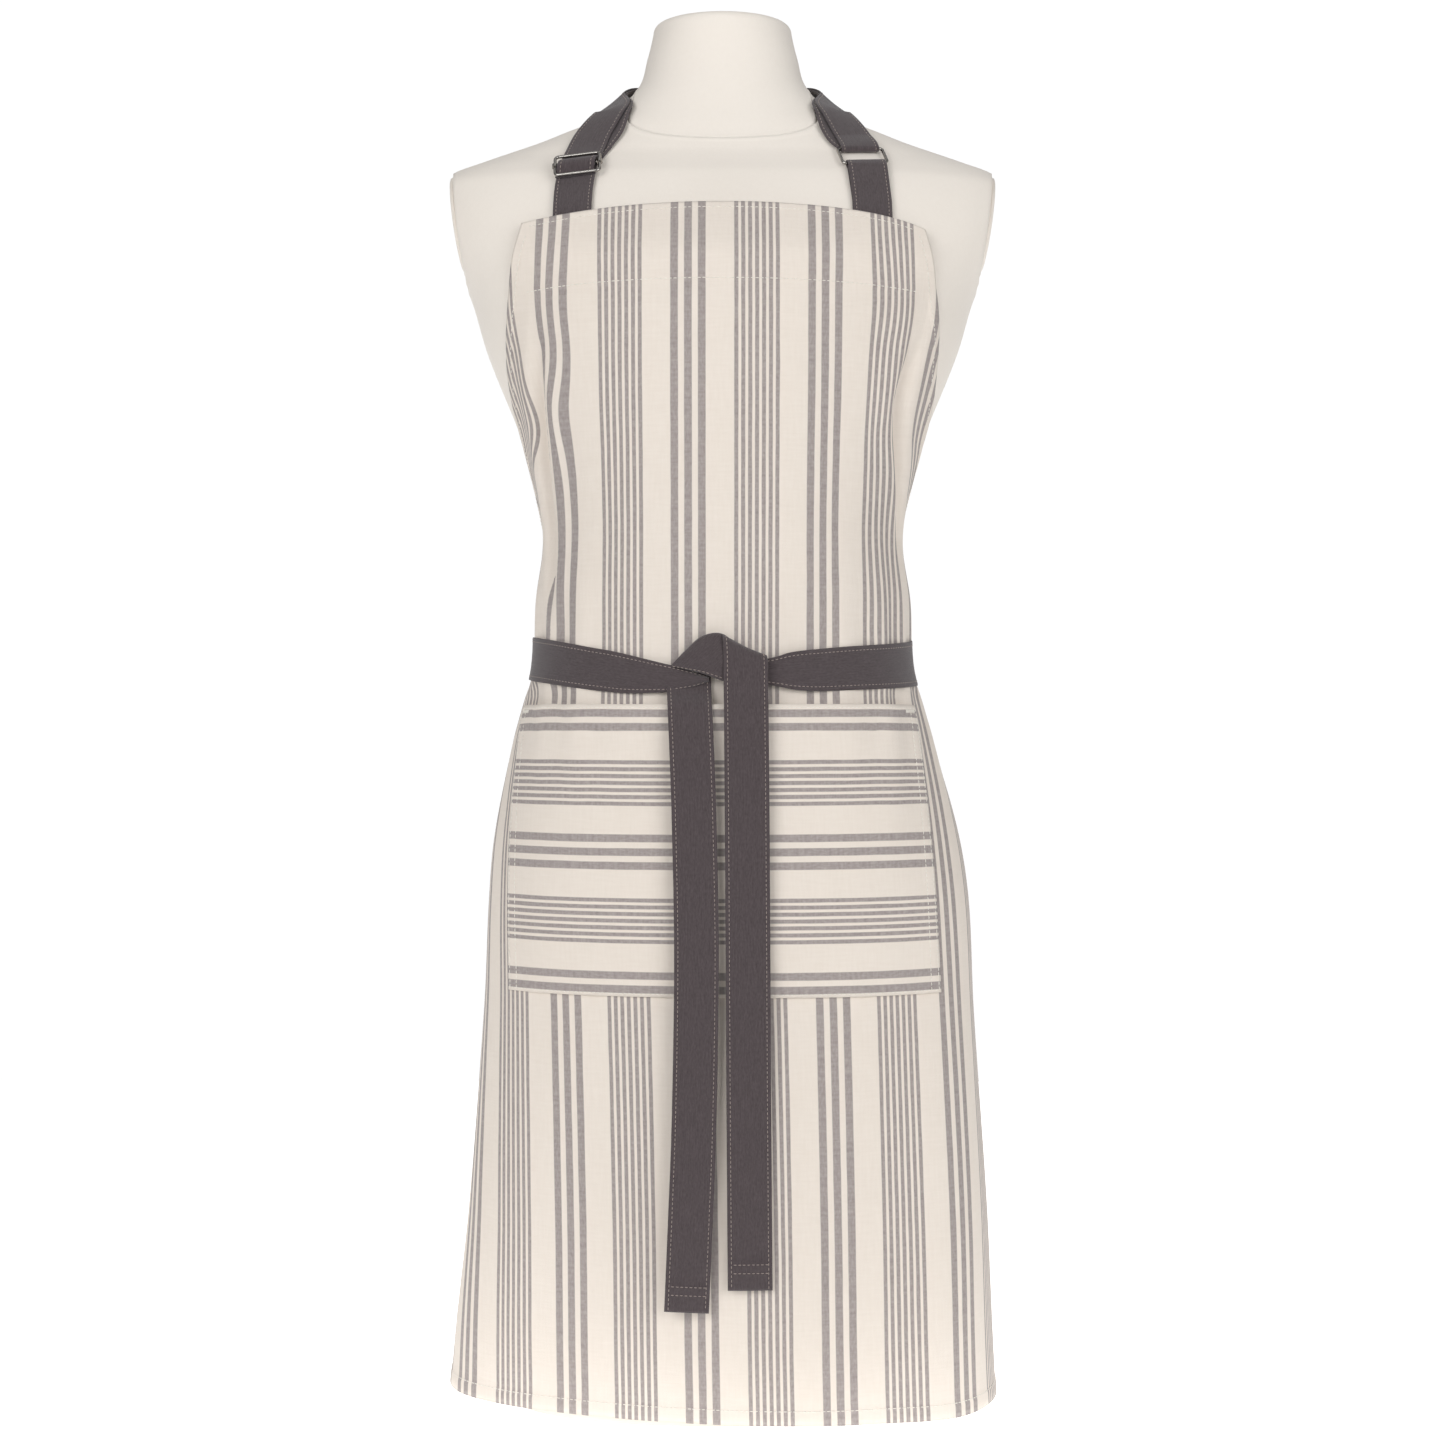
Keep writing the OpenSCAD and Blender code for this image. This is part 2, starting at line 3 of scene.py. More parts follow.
import bmesh
import bpy
import numpy as np
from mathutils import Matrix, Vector


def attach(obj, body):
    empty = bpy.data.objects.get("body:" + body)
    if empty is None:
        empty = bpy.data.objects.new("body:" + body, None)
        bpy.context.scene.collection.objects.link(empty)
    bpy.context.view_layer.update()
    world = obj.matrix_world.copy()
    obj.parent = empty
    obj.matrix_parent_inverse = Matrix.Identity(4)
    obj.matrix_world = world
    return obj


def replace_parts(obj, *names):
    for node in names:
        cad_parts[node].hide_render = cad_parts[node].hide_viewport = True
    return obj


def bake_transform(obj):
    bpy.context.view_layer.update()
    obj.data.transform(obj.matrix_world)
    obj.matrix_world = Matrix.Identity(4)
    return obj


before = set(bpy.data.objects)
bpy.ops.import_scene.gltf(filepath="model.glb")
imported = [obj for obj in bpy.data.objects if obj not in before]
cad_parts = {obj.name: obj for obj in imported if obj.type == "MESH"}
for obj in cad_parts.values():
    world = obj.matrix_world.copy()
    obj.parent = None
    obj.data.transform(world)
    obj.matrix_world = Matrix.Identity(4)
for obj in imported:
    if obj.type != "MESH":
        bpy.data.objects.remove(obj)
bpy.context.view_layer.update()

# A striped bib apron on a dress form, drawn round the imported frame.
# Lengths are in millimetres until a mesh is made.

MM = 0.001

# ---- Driving sizes, as in the frame ----

SHELL_WALL = 5.0
# The flat armhole: its distance from the middle at one height, and how it leans above another
ARMHOLE_FLAT, ARMHOLE_LEAN, ARMHOLE_LEVEL, ARMHOLE_LOW = 205.3, 0.12, 930, 856
PLATE_Z, PLATE_TALL, PLATE_LONG = 902, 36, 47
SEAM_FRONT, SEAM_RISE, SEAM_BACK = 956.0, 50.0, 14.0
NECK_TOP, CAP_ROUNDING = 1050.0, 6.5
HEM_Z = 8.0
BIB_TOP = 897.5
BIB_HALF = 148.0
SKIRT_HALF = 357.0
POCKET_TOP, POCKET_BOTTOM = 529.0, 317.0
POCKET_LEFT, POCKET_RIGHT = 178.0, 163.0
STRAP_WIDTH, TIE_WIDTH = 30.0, 32.0
LEFT_TAIL_END, RIGHT_TAIL_END = 91.0, 107.0
STRIPE_REPEAT = 100.0

# Sections of the form: height, half width, depth in front, depth behind
FORM = np.array([
    [0, 166, 106, 116], [150, 171, 112, 124], [300, 174, 117, 134], [430, 172, 119, 138],
    [500, 160, 115, 128], [560, 143, 106, 112], [650, 136, 98, 97], [690, 141, 103, 98],
    [730, 153, 112, 104], [800, 181, 134, 112], [850, 197, 130, 113], [890, 222, 110, 108],
    [926, 226, 88, 94], [938, 212, 77, 88], [946, 191, 70, 84], [953, 171, 66, 79],
    [961, 148, 62, 76], [969, 128, 59, 73], [984, 92, 54, 66], [1007, 66, 49, 57],
    [1031, 58, 47, 53], [1050, 53.5, 50, 51], [1058, 53, 49, 50]], float)
# Sections of the hanging cloth: height, half width, front depth, back depth, the middle's y,
# turn about the vertical in degrees, where the cloth's middle line crosses in x, the middle's x
DRAPE = np.array([
    [8, 211.5, 116, 124, -10, -10.5, 11, -2.4], [60, 207.5, 116, 128, -9.5, -10, 10, -1],
    [150, 200, 117, 134, -8, -8.5, 9, 2.6], [300, 188.5, 120, 142, -4, -5, 6, 4.4],
    [380, 184.5, 120.5, 142, -3, -2.5, 3.5, 4.6], [430, 178.5, 122, 141, 0, -1.5, 2, 3.2],
    [495, 163, 118, 131, 0, 0, 0.5, 1.2], [534, 152, 111, 121, 0, 0, 0, 0],
    [560, 145, 108, 115, 0, 0, 0, 0], [610, 143.5, 113, 109, 0, 0, 0, 0],
    [655, 138, 118, 107, 0, 0, 0, 0], [700, 143, 124, 106, 0, 0, 0, 0],
    [800, 182, 136, 113, 0, 0, 0, 0], [905, 182, 100, 113, 0, 0, 0, 0]], float)
SIDE_EDGE = np.array([
    [555, 357], [562, 352], [575, 330], [600, 290], [650, 245], [704, 215], [760, 193],
    [801, 178], [850, 164], [885, 150], [898, 148]], float)


# ---- Curves ----

def smooth_at(table, x, column=1):
    """Smooth value of one column of a table, at x."""
    x = np.asarray(x, float)
    t, v = table[:, 0], table[:, column]
    low = np.maximum(np.arange(len(t)) - 1, 0)
    high = np.minimum(np.arange(len(t)) + 1, len(t) - 1)
    slope = (v[high] - v[low]) / (t[high] - t[low])
    i = np.clip(np.searchsorted(t, x, side="right") - 1, 0, len(t) - 2)
    h = t[i + 1] - t[i]
    s = np.clip((x - t[i]) / h, 0, 1)
    r = 1 - s
    return (v[i] * (1 + 2 * s) * r ** 2 + slope[i] * h * s * r ** 2
            + v[i + 1] * s * s * (3 - 2 * s) - slope[i + 1] * h * s * s * r)


def ramp(x, low, high):
    """0 below low, 1 above high, and smooth between."""
    s = np.clip((np.asarray(x, float) - low) / (high - low), 0, 1)
    return s * s * (3 - 2 * s)


def bump(x, middle, width):
    """1 at the middle, falling to 0 on both sides."""
    return np.exp(-((np.asarray(x, float) - middle) / width) ** 2)


def power(x, n):
    """Power that keeps the sign of x."""
    return np.sign(x) * np.abs(x) ** n


def squareness(z):
    """Exponent of the form's sections: a little square, and round at the neck."""
    return np.interp(z, [950, 1005], [2.3, 2.0])


def section_xy(a, f, b, n, angle):
    """Point of a section; angle -90 is the front, 0 the right side and 90 the back."""
    c, s = np.cos(np.radians(angle)), np.sin(np.radians(angle))
    return a * power(c, 2 / n), np.where(s < 0, f, b) * power(s, 2 / n)


def armhole_x(z):
    """Distance of the flat armhole from the middle; it leans out at the top."""
    return ARMHOLE_FLAT + ARMHOLE_LEAN * (np.maximum(z, ARMHOLE_LOW) - ARMHOLE_LEVEL)


def form_point(angle, z, d=0.0):
    """Point of the form's skin, grown by d."""
    x, y = section_xy(*(smooth_at(FORM, z, c) + d for c in (1, 2, 3)), squareness(z), angle)
    flat = armhole_x(z) + d
    return np.stack([np.clip(x, -flat, flat), y, z + 0 * x], axis=-1)


def unit(v):
    return v / np.maximum(np.linalg.norm(v, axis=-1, keepdims=True), 1e-12)


def lengths(points):
    """Length along a line of points, from its start."""
    return np.concatenate([[0], np.cumsum(np.linalg.norm(np.diff(points, axis=0), axis=1))])


def resample(points, at, where):
    """A line whose points lie at the lengths at, looked up at the lengths where."""
    return np.stack([np.interp(where, at, points[:, c]) for c in range(points.shape[1])], 1)


def form_normal(angle, z):
    """Outward normal of the form's skin."""
    return unit(np.cross(form_point(angle + 1, z) - form_point(angle - 1, z),
                         form_point(angle, z + 2) - form_point(angle, z - 2)))


def clear_of_form(p, gap):
    """Moves points that are inside the form, grown by gap, straight out to its skin."""
    x, y, z = p[..., 0], p[..., 1], p[..., 2]
    n = squareness(z)
    a = smooth_at(FORM, z, 1) + gap
    depth = np.where(y < 0, smooth_at(FORM, z, 2), smooth_at(FORM, z, 3)) + gap
    inside = (np.abs(x) / a) ** n + (np.abs(y) / depth) ** n
    grow = np.where(inside < 1, np.maximum(inside, 0.05) ** (-1 / n), 1.0)
    return np.stack([x * grow, y * grow, z], axis=-1)


# ---- Meshes from grids ----

def grid_normals(p):
    """Outward normals of a grid whose rows run up and whose columns run to the right."""
    return unit(np.cross(np.gradient(p, axis=1), np.gradient(p, axis=0)))


def make_mesh(name, points, faces, material, uv=None):
    """A smooth mesh object from points in millimetres. uv has one pair for each point, in metres."""
    mesh = bpy.data.meshes.new(name)
    mesh.from_pydata((np.asarray(points) * MM).tolist(), [], [tuple(f) for f in faces])
    mesh.validate()
    mesh.polygons.foreach_set("use_smooth", [True] * len(mesh.polygons))
    if uv is not None:
        corner = np.zeros(len(mesh.loops), np.int32)
        mesh.loops.foreach_get("vertex_index", corner)
        layer = mesh.uv_layers.new(name="Flat")
        layer.data.foreach_set("uv", np.asarray(uv, np.float32)[corner].ravel())
    mesh.materials.append(material)
    piece = bpy.data.objects.new(name, mesh)
    bpy.context.scene.collection.objects.link(piece)
    return piece


def grid_faces(rows, columns, closed):
    """Quads of a grid of points; a closed grid joins its last column to its first."""
    last = columns if closed else columns - 1
    i, j = np.meshgrid(np.arange(rows - 1), np.arange(last), indexing="ij")
    p, q = (i * columns + j).ravel(), (i * columns + (j + 1) % columns).ravel()
    return np.stack([p, q, q + columns, p + columns], 1)


def skin_faces(rows, columns, closed):
    """Faces of two grids, the second turned over, and of the rims between them."""
    back, top = rows * columns, (rows - 1) * columns
    front = grid_faces(rows, columns, closed)
    faces = [front, front[:, [0, 3, 2, 1]] + back]
    j = np.arange(columns if closed else columns - 1)
    k = (j + 1) % columns
    faces += [np.stack([k, j, j + back, k + back], 1),
              np.stack([j + top, k + top, k + top + back, j + top + back], 1)]
    if not closed:
        p = np.arange(rows - 1) * columns
        q = p + columns - 1
        faces += [np.stack([p, p + columns, p + columns + back, p + back], 1),
                  np.stack([q + columns, q, q + back, q + columns + back], 1)]
    return np.concatenate(faces).tolist()


def skin(name, outer, inner, material, closed=False, uv=None):
    """A closed sheet between two grids of points."""
    rows, columns = outer.shape[:2]
    points = np.concatenate([outer.reshape(-1, 3), inner.reshape(-1, 3)])
    pairs = None if uv is None else np.concatenate([uv.reshape(-1, 2)] * 2)
    return make_mesh(name, points, skin_faces(rows, columns, closed), material, pairs)


def sampled(grid, row, column):
    """Bilinear sample of a grid at fractional rows and columns."""
    rows, columns = grid.shape[:2]
    row, column = np.clip(row, 0, rows - 1.001), np.clip(column, 0, columns - 1.001)
    i, j = row.astype(int), column.astype(int)
    s, t = (row - i)[..., None], (column - j)[..., None]
    return ((grid[i, j] * (1 - s) + grid[i + 1, j] * s) * (1 - t)
            + (grid[i, j + 1] * (1 - s) + grid[i + 1, j + 1] * s) * t)


def spline(points, count):
    """Smooth line through points, evenly spaced along its length."""
    p = np.asarray(points, float)
    at = lengths(p)
    fine = np.linspace(0, at[-1], max(count, 8) * 8)
    table = np.column_stack([at, p])
    q = np.stack([smooth_at(table, fine, c + 1) for c in range(p.shape[1])], 1)
    along = lengths(q)
    return resample(q, along, np.linspace(0, along[-1], count))


# ---- Materials ----

def new_material(name, roughness, sheen=0.0, metallic=0.0, specular=0.5):
    """A new material, its node tree and its shader."""
    material = bpy.data.materials.new(name)
    material.use_nodes = True
    shader = material.node_tree.nodes["Principled BSDF"]
    shader.inputs["Roughness"].default_value = roughness
    shader.inputs["Metallic"].default_value = metallic
    shader.inputs["Specular IOR Level"].default_value = specular
    shader.inputs["Sheen Weight"].default_value = sheen
    shader.inputs["Sheen Roughness"].default_value = 0.6
    return material, material.node_tree, shader


class Maths:
    """Short names for the math nodes of one node tree."""

    def __init__(self, tree):
        self.tree = tree

    def node(self, kind, **settings):
        n = self.tree.nodes.new(kind)
        for key, value in settings.items():
            setattr(n, key, value)
        return n

    def put(self, socket, value):
        """Links an output to a socket, or sets the socket to a value."""
        if hasattr(value, "is_output"):
            self.tree.links.new(value, socket)
        else:
            socket.default_value = value

    def op(self, operation, *values):
        n = self.node("ShaderNodeMath", operation=operation)
        for socket, value in zip(n.inputs, values):
            self.put(socket, value)
        return n.outputs[0]

    def add(self, a, b):
        return self.op("ADD", a, b)

    def times(self, a, b):
        return self.op("MULTIPLY", a, b)

    def away(self, x, middle, period):
        """Distance from the nearest of a row of middles that is a period apart."""
        wrapped = self.op("WRAP", self.op("SUBTRACT", x, middle), period / 2, -period / 2)
        return self.op("ABSOLUTE", wrapped)

    def between(self, x, low, high, start, end, shape="LINEAR"):
        """Goes from start to end as x goes from low to high."""
        n = self.node("ShaderNodeMapRange", interpolation_type=shape)
        limits = {"From Min": low, "From Max": high, "To Min": start, "To Max": end}
        for key, value in limits.items():
            n.inputs[key].default_value = value
        self.put(n.inputs["Value"], x)
        return n.outputs["Result"]

    def inside(self, distance, half, soft):
        """1 within half of the middle and 0 outside, with a soft edge."""
        return self.between(distance, half - soft, half + soft, 1.0, 0.0, "SMOOTHSTEP")

    def mixed(self, share, a, b):
        n = self.node("ShaderNodeMix", data_type="RGBA")
        self.put(n.inputs[0], share)
        self.put(n.inputs[6], a)
        self.put(n.inputs[7], b)
        return n.outputs[2]

    def noise(self, vector, scale, stretch=(1, 1, 1), detail=2.0):
        """Noise of a scale in each metre; a bigger stretch makes it finer that way."""
        m = self.node("ShaderNodeMapping")
        m.inputs["Scale"].default_value = stretch
        self.put(m.inputs["Vector"], vector)
        n = self.node("ShaderNodeTexNoise")
        n.inputs["Scale"].default_value = scale
        n.inputs["Detail"].default_value = detail
        self.put(n.inputs["Vector"], m.outputs[0])
        return n.outputs["Fac"]

    def place(self):
        return self.node("ShaderNodeTexCoord").outputs["Object"]

    def flat_uv(self):
        """The place on the flat sheet, in metres: the pair, U and V."""
        uv = self.node("ShaderNodeUVMap", uv_map="Flat").outputs[0]
        xyz = self.node("ShaderNodeSeparateXYZ")
        self.put(xyz.inputs[0], uv)
        return uv, xyz.outputs[0], xyz.outputs[1]

    def threads(self, x, pitch):
        """Rounded threads side by side, 0 to 1."""
        wave = self.op("SINE", self.times(x, math.tau / pitch))
        return self.add(self.times(wave, 0.5), 0.5)

    def bump(self, shader, height, distance, strength=1.0):
        n = self.node("ShaderNodeBump")
        n.inputs["Strength"].default_value = strength
        n.inputs["Distance"].default_value = distance
        self.put(n.inputs["Height"], height)
        self.put(shader.inputs["Normal"], n.outputs[0])


def linear(c):
    """One sRGB channel, 0 to 255, as linear light."""
    return c / 255 / 12.92 if c < 10 else ((c / 255 + 0.055) / 1.055) ** 2.4


def colour(r, g, b):
    """A colour for a shader's socket, from sRGB 0 to 255."""
    return (linear(r), linear(g), linear(b), 1.0)


def cotton(name):
    """Plain woven cream cotton, with the woven grey bands along V."""
    material, tree, shader = new_material(name, roughness=0.85, sheen=0.12, specular=0.25)
    m = Maths(tree)
    uv, u, v = m.flat_uv()
    cream, shade = colour(237, 228, 218), colour(226, 215, 203)
    slubs = m.noise(uv, 55, (1, 9, 1), 3)
    cross_slubs = m.noise(uv, 55, (9, 1, 1), 3)
    both_slubs = m.add(slubs, cross_slubs)
    mottle = m.add(m.times(both_slubs, 0.35), m.times(m.noise(uv, 9, (1, 1, 1), 2), 0.3))
    base = m.mixed(m.op("MULTIPLY_ADD", mottle, 1.6, -0.35), cream, shade)

    # In each repeat, one band of three wide lines and one of seven narrow ones
    repeat = STRIPE_REPEAT * MM
    wobble = m.times(m.op("SUBTRACT", m.noise(uv, 30, (14, 1, 1), 2), 0.5), 0.0006)
    across = m.add(u, wobble)
    wide_band = m.inside(m.away(across, -repeat / 4, repeat), 0.0150, 0.0001)
    wide_line = m.inside(m.away(across, -repeat / 4, 0.010), 0.0028, 0.00035)
    narrow_band = m.inside(m.away(across, repeat / 4, repeat), 0.0175, 0.0001)
    narrow_line = m.inside(m.away(across, repeat / 4, 0.005), 0.00145, 0.0003)
    line = m.op("MAXIMUM", m.times(wide_band, wide_line), m.times(narrow_band, narrow_line))
    flecks = m.noise(uv, 700, (1, 0.35, 1), 1)
    tone = m.op("MULTIPLY_ADD", m.add(flecks, slubs), 1.2, -0.7)
    grey = m.mixed(tone, colour(139, 130, 129), colour(172, 163, 160))
    m.put(shader.inputs["Base Color"], m.mixed(m.times(line, 0.93), base, grey))
    weave = m.op("MAXIMUM", m.threads(u, 0.00075), m.threads(v, 0.00075))
    m.bump(shader, m.add(m.times(weave, 0.6), m.times(both_slubs, 0.9)), 0.00018, 0.7)
    return material


def twill(name):
    """Charcoal cotton webbing cloth with a fine crosswise rib."""
    material, tree, shader = new_material(name, roughness=0.9, sheen=0.25, specular=0.2)
    m = Maths(tree)
    uv, u, v = m.flat_uv()
    slubs = m.noise(uv, 90, (1, 10, 1), 3)
    flecks = m.noise(uv, 900, (0.4, 1, 1), 1)
    tone = m.op("MULTIPLY_ADD", m.add(slubs, flecks), 1.1, -0.6)
    m.put(shader.inputs["Base Color"], m.mixed(tone, colour(64, 55, 57), colour(86, 77, 79)))
    rib = m.threads(m.add(u, m.times(v, 0.6)), 0.0009)
    m.bump(shader, m.add(m.times(rib, 0.5), slubs), 0.0002, 0.7)
    return material


def jersey(name):
    """Fine cream knit over the form."""
    material, tree, shader = new_material(name, roughness=0.9, sheen=0.2, specular=0.2)
    m = Maths(tree)
    where = m.place()
    patchy = m.noise(where, 7, (1, 1, 1), 3)
    fine = m.noise(where, 420, (1, 1, 0.6), 2)
    tone = m.op("MULTIPLY_ADD", m.add(m.times(patchy, 1.2), m.times(fine, 0.4)), 1.0, -0.4)
    m.put(shader.inputs["Base Color"], m.mixed(tone, colour(243, 236, 227), colour(235, 227, 217)))
    m.bump(shader, fine, 0.00012, 0.5)
    return material


def mottled(name, light, dark, scale, stretch=(1, 1, 1), detail=2, depth=0, strength=0, **finish):
    """A material that varies between two colours, with a fine relief if it has a depth."""
    material, tree, shader = new_material(name, **finish)
    m = Maths(tree)
    clouds = m.noise(m.place(), scale, stretch, detail)
    m.put(shader.inputs["Base Color"], m.mixed(clouds, colour(*light), colour(*dark)))
    if depth:
        m.bump(shader, clouds, depth, strength)
    return material


THREAD = {"scale": 1500, "detail": 1, "roughness": 0.7, "sheen": 0.2, "specular": 0.3}
STEEL = {"scale": 500, "depth": 0.00008, "strength": 0.4}
STRIPED = cotton("striped_cotton")
CHARCOAL = twill("charcoal_twill")
COVER = jersey("form_cover")
WHITE_THREAD = mottled("white_thread", (246, 241, 232), (224, 219, 210), **THREAD)
GREY_THREAD = mottled("grey_thread", (172, 158, 150), (150, 136, 128), **THREAD)
NICKEL = mottled("bright_nickel", (176, 172, 167), (150, 146, 142), 300, depth=0.00005, strength=0.3,
                 roughness=0.16, metallic=1.0)
PLYWOOD = mottled("plywood", (205, 172, 128), (164, 126, 84), 22, stretch=(1, 14, 30), detail=4,
                  depth=0.0003, strength=0.5, roughness=0.65, specular=0.3)
BLACK_STEEL = mottled("black_steel", (52, 52, 55), (41.6, 41.6, 44), **STEEL, roughness=0.45, metallic=0.2)
ZINC = mottled("zinc_steel", (176, 178, 182), (140.8, 142.4, 145.6), **STEEL, roughness=0.35, metallic=1.0)


# ---- Camera and light ----

# In metres; the lens is in millimetres. A light has a name, a place, a size and its watts.
CAMERA_BACK, CAMERA_HEIGHT, LENS = 1.980, 0.517, 63.6
AIM = Vector((0, 0, 0.55))
LIGHTS = [("key", (-1.3, -2.4, 1.3), 1.6, 33), ("fill", (1.5, -2.3, 1.0), 1.8, 28.5),
          ("top", (0.0, -0.5, 2.6), 1.4, 2)]
GREY_WORLD, WHITE_WORLD = 0.3, 1.02
FLOOR_GLOW_FROM, FLOOR_GLOW_FULL = -0.26, -0.16


def camera_and_lights():
    """The photo's level camera, soft lights in front, and a world that is white only behind."""
    data = bpy.data.cameras.new("camera")
    data.lens, data.sensor_width = LENS, 36
    camera = bpy.data.objects.new("camera", data)
    camera.location = (0, -CAMERA_BACK, CAMERA_HEIGHT)
    camera.rotation_euler = (math.radians(90), 0, 0)
    bpy.context.scene.collection.objects.link(camera)
    bpy.context.scene.camera = camera
    for name, place, size, watts in LIGHTS:
        light = bpy.data.lights.new(name, "AREA")
        light.energy, light.size = watts, size
        lamp = bpy.data.objects.new(name, light)
        lamp.location = place
        lamp.rotation_euler = (AIM - lamp.location).to_track_quat("-Z", "Y").to_euler()
        bpy.context.scene.collection.objects.link(lamp)
    world = bpy.data.worlds.new("studio")
    world.use_nodes = True
    background = world.node_tree.nodes["Background"]
    background.inputs["Color"].default_value = (1, 1, 1, 1)
    m = Maths(world.node_tree)
    direction = m.node("ShaderNodeSeparateXYZ")
    m.put(direction.inputs[0], m.node("ShaderNodeTexCoord").outputs["Generated"])
    behind = m.between(direction.outputs[1], 0.72, 0.86, GREY_WORLD, WHITE_WORLD)
    m.put(background.inputs["Strength"], behind)
    bpy.context.scene.world = world
    bpy.context.scene.view_settings.view_transform = "Standard"


def studio():
    """A white floor that glows from the form back, so that it melts into the background."""
    material, tree, shader = new_material("studio_white", roughness=0.9, specular=0.0)
    shader.inputs["Base Color"].default_value = (0.9, 0.9, 0.9, 1)
    shader.inputs["Emission Color"].default_value = (1, 1, 1, 1)
    m = Maths(tree)
    place = m.node("ShaderNodeSeparateXYZ")
    m.put(place.inputs[0], m.place())
    glow = m.between(place.outputs[1], FLOOR_GLOW_FROM, FLOOR_GLOW_FULL, 0.0, 1.0)
    m.put(shader.inputs["Emission Strength"], glow)
    corners = [(-1600, -1500, -0.5), (1600, -1500, -0.5), (1600, 1700, -0.5), (-1600, 1700, -0.5)]
    make_mesh("floor", corners, [(0, 1, 2, 3)], material)


# ---- The form ----

def seam_height(angle):
    """The neck seam dips in front and climbs over the shoulders to the nape."""
    front = np.maximum(-np.sin(np.radians(angle)), 0)
    back = np.maximum(np.sin(np.radians(angle)), 0)
    return SEAM_FRONT + SEAM_RISE * (1 - front ** 2) + SEAM_BACK * back ** 2


def form_grid(share, angle, low, high, d):
    """Rows at shares of the way from low to high; the neck seam stands up and the others sink in."""
    s, a = np.meshgrid(share, angle, indexing="ij")
    z = low + s * (high - low)
    ridge = 0.4 * bump(z, seam_height(a), 1.2) - 0.35 * bump(z, seam_height(a) - 3.2, 2.0)
    side_seam = 0.35 * (bump(a, 0, 0.7) + bump(a, 180, 0.7) + bump(a, 90, 0.7))
    return form_point(a, z, d + ridge - side_seam)


def dress_form():
    """The covered torso and neck, and the plates over the armholes."""
    angle = np.arange(360) - 90.0
    seam = seam_height(angle)
    share = np.concatenate([np.linspace(0, 0.93, 150), np.linspace(0.933, 1, 34)])
    outer = form_grid(share, angle, 0.0, seam, 0.0)
    inner = form_grid(share, angle, 0.0, seam, -SHELL_WALL)
    torso = skin("form_torso", outer, inner, COVER, closed=True)

    share = np.linspace(0, 1, 56)
    wall = form_grid(share, angle, seam, NECK_TOP, 0.0)
    cap = []
    for t in np.radians(np.linspace(10, 90, 9)):
        rim = form_point(angle, NECK_TOP + 0 * angle, -CAP_ROUNDING * (1 - math.cos(t)))
        cap.append(rim + [0, 0, CAP_ROUNDING * math.sin(t)])
    cap += [cap[-1] * [k, k, 1] for k in (0.93, 0.8, 0.6, 0.4, 0.2, 0.04)]
    outer = np.concatenate([wall, np.array(cap)])
    inner = outer * [0.9, 0.9, 1] - [0, 0, SHELL_WALL]
    inner[:3] = form_grid(share[:3], angle, seam, NECK_TOP, -SHELL_WALL)
    wall_below = SHELL_WALL * ramp(outer[..., 2], 980, 1050)
    inner[..., 2] = np.maximum(inner[..., 2], outer[..., 2] - wall_below)
    neck = skin("form_neck", outer, inner, COVER, closed=True)
    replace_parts(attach(torso, "root"), "torso_shell")
    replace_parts(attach(neck, "root"), "neck_block", "neck_cap")
    for side, name in ((-1, "left"), (1, "right")):
        armhole_plate(side, name)


def armhole_plate(side, name):
    """Covered oval plate: a soft-edged disc with the cloth pulled over its rim."""
    around = np.radians(np.linspace(0, 360, 97)[:-1])
    # Share of the plate's size and distance from the flat, from the rim to the middle
    profile = [(1.0, 0.1), (1.005, 0.9), (1.0, 1.9), (0.99, 2.6), (0.965, 3.1), (0.9, 3.3),
               (0.7, 3.4), (0.4, 3.5), (0.02, 3.5)]
    rings = []
    for share, out in profile:
        z = PLATE_Z + PLATE_TALL * share * np.sin(around)
        y = PLATE_LONG * share * np.cos(around)
        rings.append(np.stack([side * (armhole_x(z) + 0.2 + out), y, z], 1))
    rings = np.array(rings)[:, ::side]
    middles = rings.mean(axis=1, keepdims=True) + 0 * rings
    rings = np.concatenate([middles[:1], rings, middles[-1:]])
    rows, columns = rings.shape[:2]
    faces = grid_faces(rows, columns, closed=True).tolist()
    plate = make_mesh(f"armhole_cover_{name}", rings.reshape(-1, 3), faces, COVER)
    weld(plate)
    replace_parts(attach(plate, "root"), f"armhole_plate_{name}")


def on_body(piece, body):
    """Rides a body; with no body the piece is left unattached."""
    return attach(piece, body) if body else piece


def weld(piece):
    """Joins the points that lie in one place."""
    edit = bmesh.new()
    edit.from_mesh(piece.data)
    bmesh.ops.remove_doubles(edit, verts=edit.verts, dist=1e-6)
    bmesh.ops.recalc_face_normals(edit, faces=edit.faces)
    edit.to_mesh(piece.data)
    edit.free()


# ---- The hanging cloth ----

# The creases down the bib's sides: [height, distance from the middle] and [height, depth]
LEFT_CREASE = np.array([
    [550, -140], [578, -145], [640, -148], [704, -151], [762, -147], [820, -140]], float)
LEFT_DEPTH = np.array([
    [550, 0], [592, 0.3], [625, 6], [660, 10], [704, 11], [750, 8], [800, 2], [835, 0]], float)
RIGHT_CREASE = np.array([[600, 168], [672, 163], [748, 141], [800, 152], [850, 160]], float)
RIGHT_DEPTH = np.array([[600, 0], [640, 2], [672, 5], [748, 7], [800, 5], [845, 0]], float)
CLOTH_STEP_Z, CLOTH_STEP_U, CLOTH_REACH = 3.0, 2.0, 366.0


